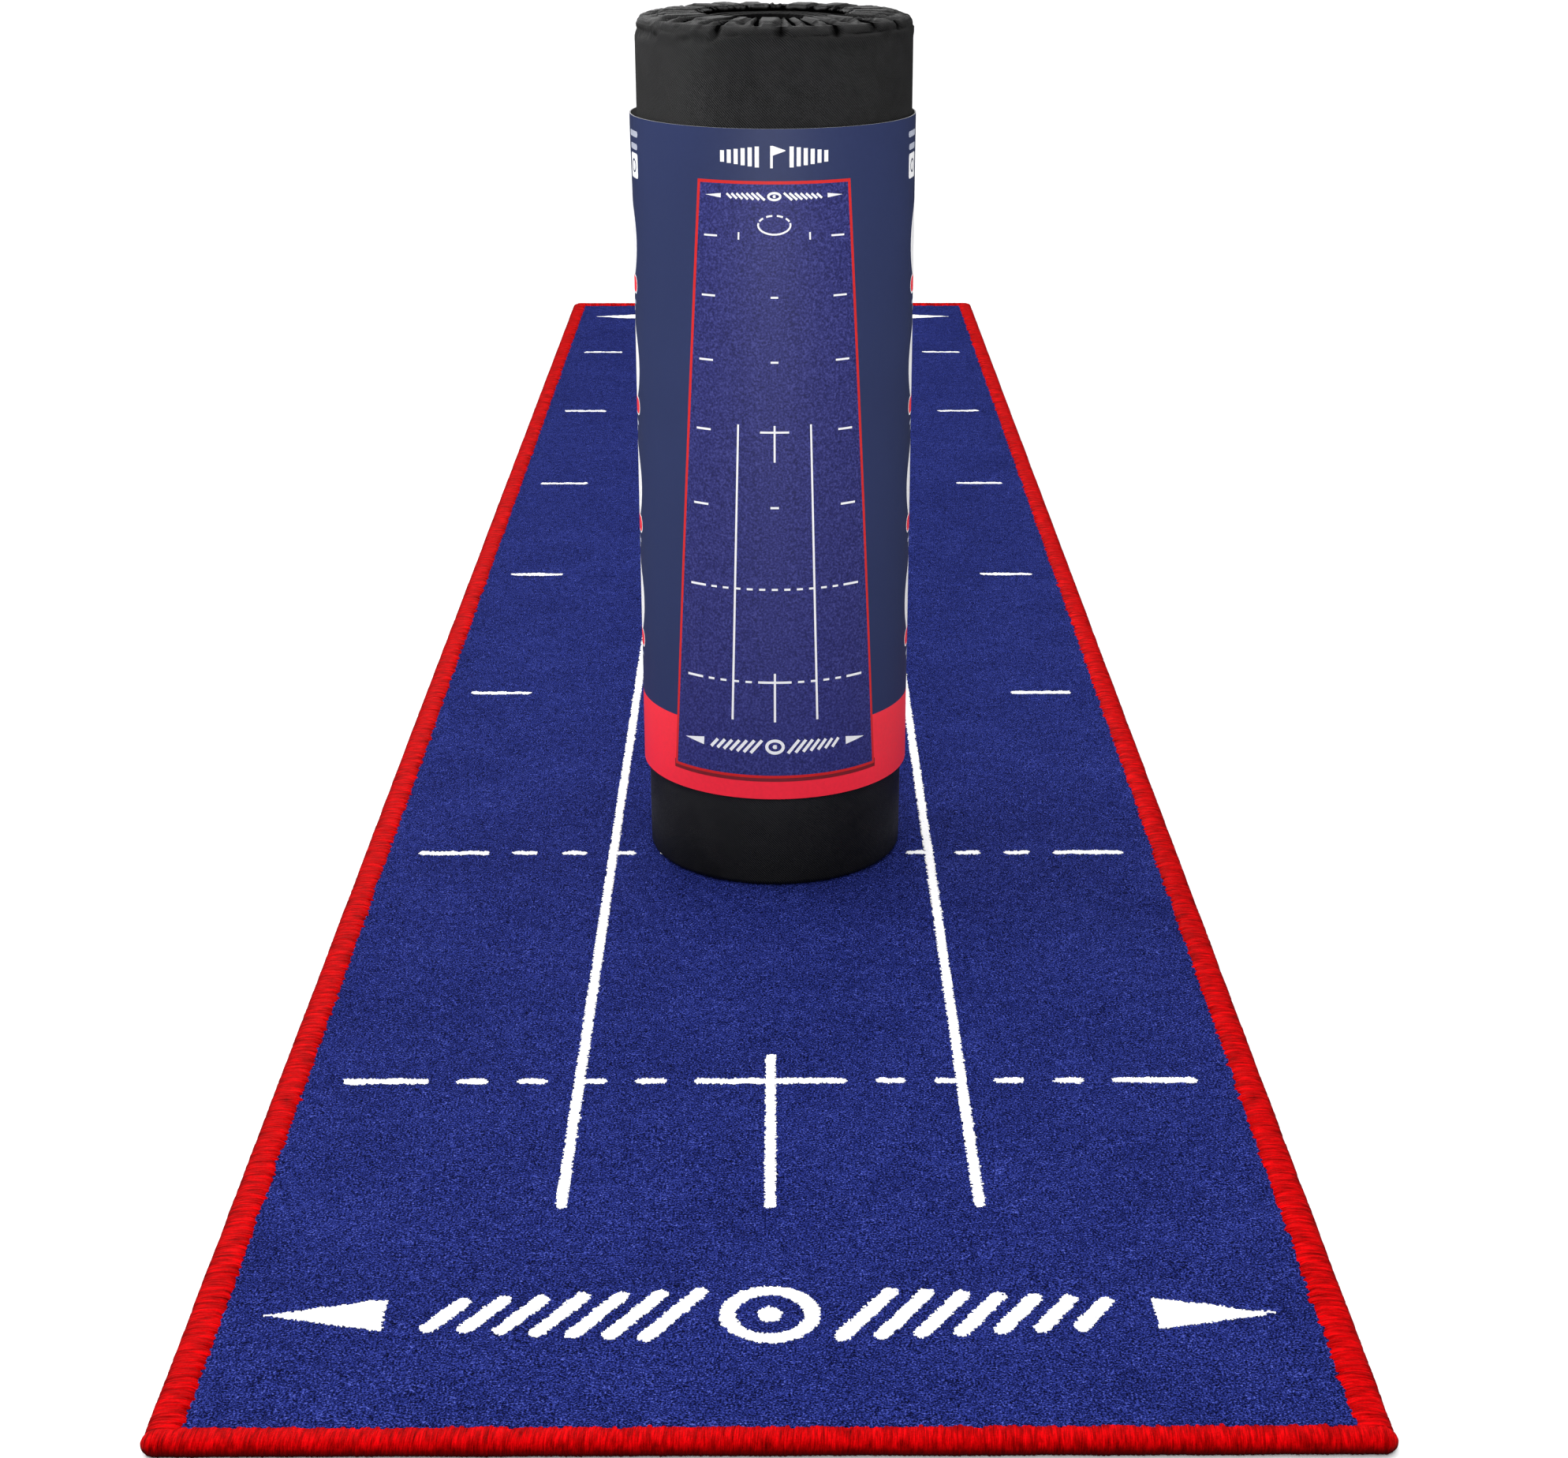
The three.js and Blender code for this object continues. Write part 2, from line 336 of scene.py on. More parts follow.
RED_YARN = [(0.32, (0.07, 0.0001, 0.0002)), (0.48, (0.37, 0.0002, 0.0006)), (0.64, (0.84, 0.001, 0.003))]
# The painted shade colour of the red yarn's outer foot.
PAINTED_SHADE_RED = (0.035, 0.0001, 0.0002)
BLACK_YARN = [(0.3, (0.0006, 0.0006, 0.0006)), (0.5, (0.0015, 0.0015, 0.0016)), (0.7, (0.006, 0.006, 0.0063))]
# The painted shade colour of the black yarn's outer foot.
PAINTED_SHADE_BLACK = (0.0006, 0.0006, 0.0006)


def rubber_material():
    m = Nodes("rubber_backing", roughness=0.85, specular=0.3)
    grain = m.noise(1.4 * MM, detail=3)
    sockets = {"Scale": 1 / (3.2 * MM), "Vector": m.place}
    cells = m.add("ShaderNodeTexVoronoi", sockets, feature="DISTANCE_TO_EDGE")
    m.color(m.ramp(grain, [(0.35, (0.012, 0.0125, 0.014)), (0.65, (0.032, 0.033, 0.036))]))
    pits = m.math("MINIMUM", cells.outputs["Distance"], 0.25)
    m.bump(m.blend_of((pits, 1), (grain, 0.25)), 0.5 * MM, 0.6)
    m.roughness(grain, 0.75, 0.95)
    return m.material


TWILL_PITCH = 1.5 * MM


def twill(m, across, along):
    """Diagonal ribs, crossed by a finer weave. across and along are phases of the two thread directions."""
    ribs = m.math("SINE", m.math("ADD", across, along))
    crossing = m.math("SUBTRACT", m.math("MULTIPLY", across, 2), m.math("MULTIPLY", along, 1.5))
    return m.blend_of((ribs, 0.5), (m.math("SINE", crossing), 0.25))


def cloth_material(name, flat=False):
    """Black twill. On the tube its ribs wind round the bag and over its shoulder; the base is cut flat."""
    m = Nodes(name, roughness=0.5, sheen=0.02, specular=0.24)
    m.feed("Sheen Roughness", 0.4)
    centred = m.add("ShaderNodeVectorMath", {0: m.place, 1: tuple(BAG_AXIS)}, operation="SUBTRACT")
    x, y, z = m.axes(centred.outputs[0])
    wave = ROUND / TWILL_PITCH
    if flat:
        weave = twill(m, m.math("MULTIPLY", x, wave), m.math("MULTIPLY", y, wave))
    else:
        radius = m.math("SQRT", m.math("ADD", m.math("MULTIPLY", x, x), m.math("MULTIPLY", y, y)))
        rise = m.math("SUBTRACT", z, radius)
        ribs = round(ROUND * BAG_RADIUS / TWILL_PITCH)
        turn = m.math("MULTIPLY", m.math("ARCTAN2", y, x), ribs)
        weave = twill(m, turn, m.math("MULTIPLY", rise, wave))
    uneven = m.noise(6 * MM, detail=3)
    fade = m.noise(40 * MM)
    weave = m.math("MULTIPLY", weave, m.math("ADD", fade, 0.3))
    value = m.math("ADD", m.blend_of((weave, 0.5), (uneven, 0.3), (fade, 0.2)), 0.25)
    dark, mid, light = (0.0016, 0.0016, 0.0016), (0.0066, 0.0066, 0.0069), (0.03, 0.03, 0.0315)
    color = m.ramp(value, [(0.25, dark), (0.5, mid), (0.75, light)])
    if not flat:
        # The mesh's gather vector is how deep a point lies in a fold, whether it is on the bag's top,
        # and how near it is to the foot. All three are painted shade: the cloth's colour goes towards
        # near-black in each, and in the folds and near the foot its specular level and sheen are cut too.
        in_fold, on_top, low_down = m.axes(m.attribute("gather"))
        depth = m.math("MINIMUM", m.math("MULTIPLY", in_fold, 1.6), 1)
        shade = m.math("MAXIMUM", m.math("MULTIPLY", depth, 0.95), m.math("MULTIPLY", on_top, 0.3))
        shade = m.math("MAXIMUM", shade, low_down)
        color = m.mix(shade, color, (0.0006, 0.0006, 0.0007))
        # Painted shade on the reflections: the specular level and sheen are cut in the folds and near the
        # foot.
        lit = m.math("SUBTRACT", 1, m.math("MAXIMUM", depth, low_down))
        m.feed("Specular IOR Level", m.math("MULTIPLY", lit, 0.36))
        m.feed("Sheen Weight", m.math("MULTIPLY", lit, 0.02))
    m.color(color)
    m.bump(weave, 0.3 * MM, 1.0)
    m.roughness(uneven, 0.42, 0.6)
    return m.material


def elastic_material():
    m = Nodes("elastic_cord", roughness=0.8, sheen=0.1)
    rib = m.noise(0.8 * MM, detail=1)
    m.color(m.ramp(rib, [(0.4, (0.005, 0.005, 0.005)), (0.6, (0.02, 0.02, 0.021))]))
    m.bump(rib, 0.3 * MM, 0.5)
    return m.material


def ink_material(name, color, roughness=0.5, spread=0.06):
    """Ink on satin card, with faint fibre in it."""
    m = Nodes(name, roughness=roughness, specular=0.4)
    fibre = m.noise(2.2 * MM, detail=4)
    broad = m.noise(70 * MM, detail=1)
    low = tuple(c * (1 - spread) for c in color)
    high = tuple(min(1.0, c * (1 + spread)) for c in color)
    m.color(m.ramp(m.blend_of((fibre, 0.5), (broad, 0.5)), [(0.35, low), (0.65, high)]))
    m.roughness(fibre, roughness - 0.04, roughness + 0.06)
    m.bump(fibre, 0.03 * MM, 0.4)
    return m.material


def picture_turf_material():
    """The printed picture's turf: a fine grain in blue ink."""
    m = Nodes("printed_turf", roughness=0.5, specular=0.42)
    grain = m.noise(1.2 * MM, detail=3, roughness=0.6)
    dark, mid, light = (0.006, 0.0075, 0.092), (0.0165, 0.0195, 0.165), (0.05, 0.055, 0.27)
    m.color(m.ramp(grain, [(0.36, dark), (0.5, mid), (0.66, light)]))
    m.bump(grain, 0.02 * MM, 0.3)
    return m.material


TURF = turf_material()
PRINT = print_on_pile_material()
RED_BINDING = yarn_material("red_yarn", RED_YARN, PAINTED_SHADE_RED, tint=(1, 0.05, 0.05))
ROLL_BINDING = yarn_material("black_yarn", BLACK_YARN, PAINTED_SHADE_BLACK, tint=(1, 1, 1))
RUBBER = rubber_material()
CLOTH = cloth_material("bag_cloth")
BASE_CLOTH = cloth_material("bag_base_cloth", flat=True)
ELASTIC = elastic_material()
NAVY_INK = ink_material("navy_ink", (0.017, 0.03, 0.112))
RED_INK = ink_material("red_ink", (0.94, 0.011, 0.035))
BORDER_INK = ink_material("border_ink", (0.62, 0.002, 0.003))
WHITE_INK = ink_material("white_ink", (0.86, 0.86, 0.87), spread=0.03)
GREY_INK = ink_material("grey_ink", (0.42, 0.45, 0.55), spread=0.08)
SHADE_INK = ink_material("shade_ink", (0.2, 0.005, 0.012))
RAW_CARD = ink_material("raw_card", (0.42, 0.42, 0.43), roughness=0.8, spread=0.12)
PICTURE_TURF = picture_turf_material()


# ------------------------ the mat's printed marks

# Places on the mat: x across from the middle, s along from the near end.
LINE = 5.4 * MM
UPRIGHT = 5.0 * MM
FIRST_LINE = 0.308
LINE_STEP = 0.2993
LINES = [FIRST_LINE + k * LINE_STEP for k in range(7)]
SIDE_DASH = (0.1755, 0.219)
SHORT_DASH = 0.0154
SHORT_DASH_STEP = 0.0306
CENTRE_DASH = 0.022
GATE = 0.098
GATE_START = 0.183
GATE_BEYOND = 0.030
# A cross: half its width, and how far it reaches before and beyond its line.
CROSS_HALF = 0.039
NEAR_CROSS = (0.1254, 0.029)
FAR_CROSS = (0.122, 0.028)
TICK_X = 0.108
TICK = (0.016, 0.023)
# The ring round the hole's place: its angles, and where its four dashes start, in degrees.
RING_RADIUS = 0.054
RING_BEYOND = 0.025
RING_ARC = (168, 372)
RING_DASHES = (22, 58, 97, 134)
RING_DASH = 23
NEAR_BADGE = 0.094
FAR_BADGE = 0.083
BADGE_INK = 7 * MM
BADGE_BARS = 7
BADGE_BAR_START = 0.042
BADGE_BAR_STEP = 0.0165
BADGE_RING = 0.0185
BADGE_DOT = 0.002
BADGE_SLANT = 0.011
BADGE_HALF_HEIGHT = 0.017
ARROW_TIP = 0.220
ARROW_BACK = 0.168
ARROW_HALF_HEIGHT = 0.012


def dash(x0, x1, s, width=LINE):
    """A stroke across the mat. The round ends are inside its length."""
    inset = width / 2
    return ("stroke", [(x0 + inset, s), (x1 - inset, s)], width)


def upright(x, s0, s1, width=UPRIGHT):
    inset = width / 2
    return ("stroke", [(x, s0 + inset), (x, s1 - inset)], width)


def arc_stroke(cx, cs, radius, start, end, width=LINE, steps=16):
    angles = np.radians(np.linspace(start, end, steps))
    return ("stroke", [(cx + radius * math.cos(a), cs + radius * math.sin(a)) for a in angles], width)


def cross(line, before, beyond):
    return [dash(-CROSS_HALF, CROSS_HALF, line), upright(0, line - before, line + beyond)]


def badge(s, facing):
    """A plain band of slanted bars beside a ring, between two triangles that point outwards."""
    marks = []
    for side in (-1, 1):
        tip, back = side * ARROW_TIP, side * ARROW_BACK
        corners = [(tip, s), (back, s + ARROW_HALF_HEIGHT), (back, s - ARROW_HALF_HEIGHT)]
        marks.append(("polygon", corners[::side], 0))
        for k in range(BADGE_BARS):
            x = side * (BADGE_BAR_START + BADGE_BAR_STEP * k)
            half = BADGE_HALF_HEIGHT * (1 - 0.07 * k)
            lean = facing * BADGE_SLANT * half / BADGE_HALF_HEIGHT
            marks.append(("stroke", [(x - lean, s - half), (x + lean, s + half)], BADGE_INK))
    marks.append(arc_stroke(0, s, BADGE_RING, 0, 360, BADGE_INK, 33))
    marks.append(arc_stroke(0, s, BADGE_DOT, 0, 360, BADGE_INK, 9))
    return marks


def mat_marks(
    first_line=FIRST_LINE, gate_start=GATE_START, ring_radius=RING_RADIUS, ring_beyond=RING_BEYOND
):
    """Every mark: its kind, its points and the width of its stroke."""
    marks = badge(NEAR_BADGE, 1) + badge(LENGTH - FAR_BADGE, -1)
    lines = [first_line] + LINES[1:]
    for s in lines:
        for side in (-1, 1):
            marks.append(dash(*sorted(side * x for x in SIDE_DASH), s))
    for line, inner in ((0, 2), (1, 0)):
        for k in range(-5, 6):
            if abs(k) >= inner:
                x = k * SHORT_DASH_STEP
                marks.append(dash(x - SHORT_DASH / 2, x + SHORT_DASH / 2, lines[line], LINE * 0.93))
    marks += cross(first_line, *NEAR_CROSS) + cross(LINES[3], *FAR_CROSS)
    for side in (-1, 1):
        marks.append(upright(side * GATE, gate_start, LINES[3] + GATE_BEYOND))
        marks.append(upright(side * TICK_X, LINES[6] - TICK[0], LINES[6] + TICK[1]))
    for k in (2, 4, 5):
        marks.append(dash(-CENTRE_DASH / 2, CENTRE_DASH / 2, LINES[k]))
    ring = LINES[6] + ring_beyond
    marks.append(arc_stroke(0, ring, ring_radius, *RING_ARC))
    for start in RING_DASHES:
        marks.append(arc_stroke(0, ring, ring_radius, start, start + RING_DASH, steps=6))
    return marks


def stroke_distance(x, s, points, width):
    """Distance outside a round-ended stroke, negative inside."""
    best = np.full(x.shape, 1e9)
    for (ax, ay), (bx, by) in zip(points[:-1], points[1:]):
        dx, dy = bx - ax, by - ay
        t = np.clip(((x - ax) * dx + (s - ay) * dy) / (dx * dx + dy * dy), 0, 1)
        best = np.minimum(best, np.hypot(x - ax - t * dx, s - ay - t * dy))
    return best - width / 2


def polygon_distance(x, s, corners):
    """Distance outside a convex polygon whose corners go anticlockwise, negative inside."""
    worst = np.full(x.shape, -1e9)
    for (ax, ay), (bx, by) in zip(corners, corners[1:] + corners[:1]):
        length = math.hypot(bx - ax, by - ay)
        worst = np.maximum(worst, ((x - ax) * (by - ay) - (s - ay) * (bx - ax)) / length)
    return worst


# ------------------------ the laid mat

turf_noise = make_noise(1)
tuft_noise = make_noise(2)
MARK_CELL = 0.71 * MM
MARK_PROUD = 0.30 * MM
MARK_DEPTH = 0.6 * MM
BACKING_INSET = 2.5 * MM
BACKING_FOOT = 0.15 * MM
BACKING_PITCH = 9 * MM
# The two halves that each cross one fold line: name, end section, and the pitch of the turf's grid.
HALVES = (("near", "near_end", 2.5 * MM), ("far", "far_end", 3.0 * MM))


def half_span(name, inset):
    """Where one half starts and ends along the mat, drawn in from the mat's end by inset."""
    return (NEAR_END + inset, 0.0) if name == "near" else (0.0, FAR_END - inset)


def pile_height(x, y):
    lumps = 0.30 * MM * turf_noise(x, y, 4.4 * MM) + 0.20 * MM * tuft_noise(x, y, 11 * MM)
    return PILE_TOP - 0.25 * MM + lumps


def sheet_solid(name, half, y0, y1, bottom, top, pitch, material):
    """A closed slab whose top is at top(x, y). Its underside has one face for each row."""
    nx, ny = max(2, round(2 * half / pitch)) + 1, max(2, round((y1 - y0) / pitch)) + 1
    x, y = np.meshgrid(np.linspace(-half, half, nx), np.linspace(y0, y1, ny))
    upper = np.stack([x, y, np.broadcast_to(top(x, y), x.shape)], -1).reshape(-1, 3)
    lower = np.stack([x[:, [0, -1]], y[:, [0, -1]], np.full((ny, 2), bottom)], -1).reshape(-1, 3)
    base = nx * ny
    faces = grid_faces(ny, nx)
    for j in range(ny - 1):
        left, right = base + 2 * j, base + 2 * j + 1
        faces.append([left, left + 2, right + 2, right])
        faces.append([j * nx, (j + 1) * nx, left + 2, left])
        faces.append([(j + 1) * nx - 1, right, right + 2, (j + 2) * nx - 1])
    faces.append([base, base + 1, *range(nx - 1, -1, -1)])
    last = (ny - 1) * nx
    faces.append([base + 2 * ny - 1, base + 2 * ny - 2, *range(last, last + nx)])
    return make_object(name, np.concatenate([upper, lower]), faces, [material])


def make_turf_and_backing():
    turf_half = HALF_WIDTH - BINDING_WIDTH + 5 * MM
    backing_half = HALF_WIDTH - BACKING_INSET
    for name, end, pitch in HALVES:
        y0, y1 = half_span(name, BINDING_WIDTH - 3 * MM)
        turf = sheet_solid(f"turf_{name}_half", turf_half, y0, y1, turf_lo.z, pile_height, pitch, TURF)
        declare(turf, "turf_pile", end, f"turf_{end}", "turf_middle", bending=True)
        low, high = half_span(name, BACKING_INSET)
        backing = sheet_solid(
            f"backing_{name}_half", backing_half, low, high, BACKING_FOOT, lambda x, y: BACKING_TOP,
            BACKING_PITCH, RUBBER,
        )
        declare(backing, "rubber_backing", end, f"backing_{end}", "backing_middle", bending=True)


def mark_mask():
    """Which cells of a fine lattice over the mat are printed. Row 0 is at the near end."""
    columns, rows = round(2 * HALF_WIDTH / MARK_CELL), round(LENGTH / MARK_CELL)
    mask = np.zeros((rows, columns), bool)
    fuzz = make_noise(3)
    fibres = np.random.default_rng(6).uniform(-1, 1, mask.shape)
    for kind, points, width in mat_marks():
        px, ps = np.array(points).T
        reach = width / 2 + 2 * MM
        c0, c1 = (int((v + HALF_WIDTH) / MARK_CELL) for v in (px.min() - reach, px.max() + reach))
        r0, r1 = (int(v / MARK_CELL) for v in (ps.min() - reach, ps.max() + reach))
        x = (np.arange(c0, c1)[None, :] + 0.5) * MARK_CELL - HALF_WIDTH
        s = (np.arange(r0, r1)[:, None] + 0.5) * MARK_CELL
        x, s = np.broadcast_arrays(x, s)
        distance = stroke_distance(x, s, points, width) if width else polygon_distance(x, s, points)
        ragged = 0.3 * MM * fuzz(x, s, 0.9 * MM) + 0.2 * MM * fuzz(x, s, 3.1 * MM)
        ragged = ragged + 0.6 * MM * fibres[r0:r1, c0:c1]
        mask[r0:r1, c0:c1] |= distance + ragged < 0
    # A printed cell with no printed neighbour is left out.
    beside = np.zeros_like(mask)
    beside[1:] |= mask[:-1]
    beside[:-1] |= mask[1:]
    beside[:, 1:] |= mask[:, :-1]
    beside[:, :-1] |= mask[:, 1:]
    return mask & beside


def make_marks():
    """The print is a thin closed skin on the pile, cut into the cells of the lattice."""
    mask = mark_mask()
    rows, columns = mask.shape
    wide = columns + 1
    jitter = np.random.default_rng(4).uniform(-0.35, 0.35, (2, rows + 1, wide)) * MARK_CELL
    lift = np.random.default_rng(5).uniform(-0.1, 0.12, (rows + 1, wide)) * MM
    middle = round(-NEAR_END / MARK_CELL)
    for (name, end, _), low, high in zip(HALVES, (0, middle), (middle, rows)):
        r, c = np.nonzero(mask[low:high])
        first = (r + low) * wide + c
        corners = np.stack([first, first + 1, first + wide + 1, first + wide], -1)
        used, index = np.unique(corners, return_inverse=True)
        quads = index.reshape(-1, 4)
        ur, uc = used // wide, used % wide
        x = uc * MARK_CELL - HALF_WIDTH + jitter[0, ur, uc]
        y = ur * MARK_CELL + NEAR_END + jitter[1, ur, uc]
        top = pile_height(x, y) + MARK_PROUD + lift[ur, uc]
        points = np.concatenate([np.stack([x, y, z], -1) for z in (top, top - MARK_DEPTH)])
        n = len(used)
        faces = quads.tolist() + (quads[:, ::-1] + n).tolist()
        edges = np.concatenate([quads[:, [k, (k + 1) % 4]] for k in range(4)])
        keys = {tuple(e) for e in edges.tolist()}
        faces += [[b, a, a + n, b + n] for a, b in sorted(keys) if (b, a) not in keys]
        marks = make_object(f"printed_marks_{name}_half", points, faces, [PRINT])
        declare(marks, "turf_pile", end, bending=True)


YARN_PITCH = 2.0 * MM
YARN_STEP = 0.5 * MM
BEAD_HEIGHT = 7.6 * MM
# How far the wound yarn stands out beyond the record's edge: along the sides, and at the two ends.
SIDE_PROUD = 3.4 * MM
FRONT_PROUD = 3.5 * MM
REAR_PROUD = 1.5 * MM
SIDE_BEAD_STRETCH = 1.11
END_ROUNDING = 6.5 * MM


def bead_outline(height=BEAD_HEIGHT, points=16):
    """The binding's outline: a squarish bead with a flat foot. Distance in from the edge, and height.

    It starts at the inner side, which is sunk in the pile, and goes over the top.
    """
    angle = np.radians(-25) + ROUND * np.arange(points) / points
    across = np.sign(np.cos(angle)) * np.abs(np.cos(angle)) ** 0.85
    up = np.sign(np.sin(angle)) * np.abs(np.sin(angle)) ** 0.9
    middle = height * 0.47
    x = BINDING_WIDTH / 2 * 1.02 + (BINDING_WIDTH / 2 * 0.97) * across
    z = np.maximum(middle + (height - middle) * up, 0.0)
    return np.stack([x, z], -1)


def wound_yarn(distance, seed, outline, pitch=YARN_PITCH, depth=0.36 * MM):
    """The outline at each distance along the edge, raised over each turn of yarn and sunk between two.

    Returns the sections and, for the material, their wrap vectors.
    """
    chance = np.random.default_rng(seed)
    m = len(outline)
    tangent = np.roll(outline, -1, 0) - np.roll(outline, 1, 0)
    normal = np.stack([tangent[:, 1], -tangent[:, 0]], -1)
    normal /= np.linalg.norm(normal, axis=1)[:, None]
    girth = np.concatenate([[0], np.cumsum(np.linalg.norm(np.diff(outline, axis=0), axis=1))])
    slant = girth / girth[-1]
    phase = distance[:, None] / pitch + slant[None, :]
    turn = np.floor(phase).astype(int)
    turns = turn.max() + 2
    size = 0.5 + 0.8 * chance.random(turns)
    reach = chance.normal(0, 0.6, turns) * MM
    lump = make_noise(seed + 50)(distance[:, None], np.zeros(1), 23 * MM)
    ridge = np.abs(np.sin(np.pi * phase)) ** 0.7 * size[turn] - 0.55
    section = outline[None] + normal[None] * (ridge * depth + 0.16 * MM * lump)[..., None]
    lip = np.exp(-((np.arange(m) - 2.2) / 1.6) ** 2)
    section[..., 0] += reach[turn] * lip
    section[..., 1] = np.maximum(section[..., 1], 0.0)
    height = outline[:, 1] / outline[:, 1].max()
    outside = outline[:, 0] < 1.1 * outline[:, 0].mean()
    # Painted shade: on the outer side the bead grows darker towards its foot.
    darkened = np.where(outside, eased(1.25 * (1.12 - height)), 0.0)
    return section, np.stack(np.broadcast_arrays(phase * pitch, girth, darkened), -1)


def make_binding(name, path, across, up, yarn, material):
    """Yarn wound along a path. yarn is its sections and their wrap vectors."""
    section, wrap = yarn
    piece = sweep(name, path, across, up, section, [material])
    store_vector(piece, "wrap", wrap)
    return piece


def make_side_bindings():
    outline = bead_outline() * (SIDE_BEAD_STRETCH, 1)
    for side, side_name in ((-1, "left"), (1, "right")):
        for name, end, _ in HALVES:
            low, high = half_span(name, 6 * MM)
            y = np.linspace(low, high, round((high - low) / YARN_STEP) + 1)
            path = np.stack([np.full_like(y, side * (HALF_WIDTH + SIDE_PROUD)), y, np.zeros_like(y)], -1)
            # Measured from the near end on both halves, so that the turns of yarn meet in the middle.
            yarn = wound_yarn(y - NEAR_END, 11 + side, outline)
            binding = f"{side_name}_binding"
            piece = make_binding(f"{binding}_{name}_half", path, (-side, 0, 0), UP, yarn, RED_BINDING)
            declare(piece, "binding_yarn", end, f"{binding}_{end}", f"{binding}_middle", bending=True)


def make_end_bindings():
    """Each end's binding runs the full width and is rounded off over the side bindings' ends."""
    outline = bead_outline(BEAD_HEIGHT * 1.04)
    for name, body, edge, inward, proud, seed in (
        ("front_binding", "near_end", NEAR_END, 1, FRONT_PROUD, 31),
        ("rear_binding", "far_end", FAR_END, -1, REAR_PROUD, 32),
    ):
        reach = HALF_WIDTH + proud
        x = np.linspace(-reach, reach, round(2 * reach / YARN_STEP) + 1)
        path = np.stack([x, np.full_like(x, edge - inward * proud / 2), np.zeros_like(x)], -1)
        section, wrap = wound_yarn(x + reach, seed, outline)
        from_end = np.clip(1 - (reach - np.abs(x)) / END_ROUNDING, 0, 1)
        taper = np.sqrt(np.clip(1 - from_end ** 2, 0.02, 1))
        heart = section[len(x) // 2].mean(0)
        section = heart + (section - heart) * taper[:, None, None]
        piece = make_binding(name + "_yarn", path, (0, inward, 0), UP, (section, wrap), RED_BINDING)
        declare(piece, "binding_yarn", body, name)


# ------------------------ the rolled mat

# The spiral, as in the CAD model.
THICKNESS = PILE_TOP
ROLL_WIDTH = 2 * HALF_WIDTH
CORE_RADIUS = 20 * MM
ROLL_RADIUS = 76.3 * MM
TURNS = LENGTH / (math.pi * (CORE_RADIUS + ROLL_RADIUS))
ROLL_PITCH = (ROLL_RADIUS - THICKNESS - CORE_RADIUS) / TURNS
ROLL_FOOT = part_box("roll_binding_outer_end")[0].z
ROLL_TOP = ROLL_FOOT + ROLL_WIDTH
ROLL_BEAD = 6.0 * MM


def on_spiral(turns):
    """Points on the backing's outer face, before they are lifted, and unit vectors away from the core."""
    out = outward(ROUND * np.asarray(turns))
    return out * (CORE_RADIUS + THICKNESS + ROLL_PITCH * np.asarray(turns))[..., None] + BAG_AXIS, out


def spiral(step):
    """The whole spiral in steps of about the given size, its inward directions and its running length."""
    path, out = on_spiral(np.linspace(0, TURNS, round(TURNS * ROUND * 50 * MM / step) + 1))
    distance = np.concatenate([[0], np.cumsum(np.linalg.norm(np.diff(path, axis=0), axis=1))])
    return path, -out, distance


def roll_yarn(distance, seed):
    return wound_yarn(distance, seed, bead_outline(ROLL_BEAD, 12), pitch=3.0 * MM, depth=0.2 * MM)


def make_roll_binding(name, path, across, up, yarn):
    piece = make_binding(f"rolled_binding_{name}", path, across, up, yarn, ROLL_BINDING)
    declare(piece, "dark_binding_yarn", "rolled_mat", f"roll_binding_{name}")


def make_rolled_mat():
    """Backing and turf wound up together, with the binding round all four of their edges."""
    edge = BINDING_WIDTH - 2 * MM
    low, high = ROLL_FOOT + edge, ROLL_TOP - edge
    path, inward, _ = spiral(3.3 * MM)
    for name, near, far, material, slot in (
        ("backing", 0.1 * MM, 2.2 * MM, RUBBER, "rubber_backing"),
        ("turf", 2.3 * MM, 5.7 * MM, TURF, "turf_pile"),
    ):
        section = [(near, low), (far, low), (far, high), (near, high)]
        piece = sweep(f"rolled_{name}", path, inward, UP, section, [material])
        keep_square_edges(piece)
        declare(piece, slot, "rolled_mat", f"roll_{name}")
    path, inward, distance = spiral(1.0 * MM)
    for name, z, into, seed in (("top", ROLL_TOP, -1, 41), ("bottom", ROLL_FOOT, 1, 42)):
        make_roll_binding(name, path + (0, 0, z), (0, 0, into), inward, roll_yarn(distance, seed))
    # Across each end of the rolled mat, the yarn is wound round an upright edge of the spiral.
    z = np.linspace(ROLL_FOOT + 1 * MM, ROLL_TOP - 1 * MM, round(ROLL_WIDTH / (1.0 * MM)) + 1)
    for name, turns, facing, seed in (("outer_end", TURNS, -1, 43), ("inner_end", 0.0, 1, 44)):
        foot, out = on_spiral(turns)
        section, wrap = roll_yarn(z - z[0], seed)
        # The band follows the spiral's curve.
        section[..., 1] += section[..., 0] ** 2 / (2 * (CORE_RADIUS + THICKNESS + ROLL_PITCH * turns))
        along = (-facing * out[1], facing * out[0], 0)
        make_roll_binding(name, foot + z[:, None] * UP, along, -out, (section, wrap))


# ------------------------ the bag

# Radii, and heights above the bag's foot.
FOOT_RADIUS = 77.6 * MM
FOOT_FILLET = 3.4 * MM
BASE_EDGE = 72.0 * MM
TURNED_UNDER = 1.5 * MM
# How far up from the foot the cloth is painted darker, as painted shade.
FOOT_SHADE_HEIGHT = 60 * MM
PINNED_FROM = 480 * MM
SHOULDER = 494.5 * MM
SHOULDER_RADIUS = 78.9 * MM
MOUTH_RADIUS = 44.0 * MM
MOUTH_TOP = 503.0 * MM
# The flat elastic's hem: half its width, and half its thickness.
HEM_HALF_WIDTH = 1.9 * MM
HEM_HALF_HEIGHT = 0.85 * MM
CLOTH_THICKNESS = 0.45 * MM
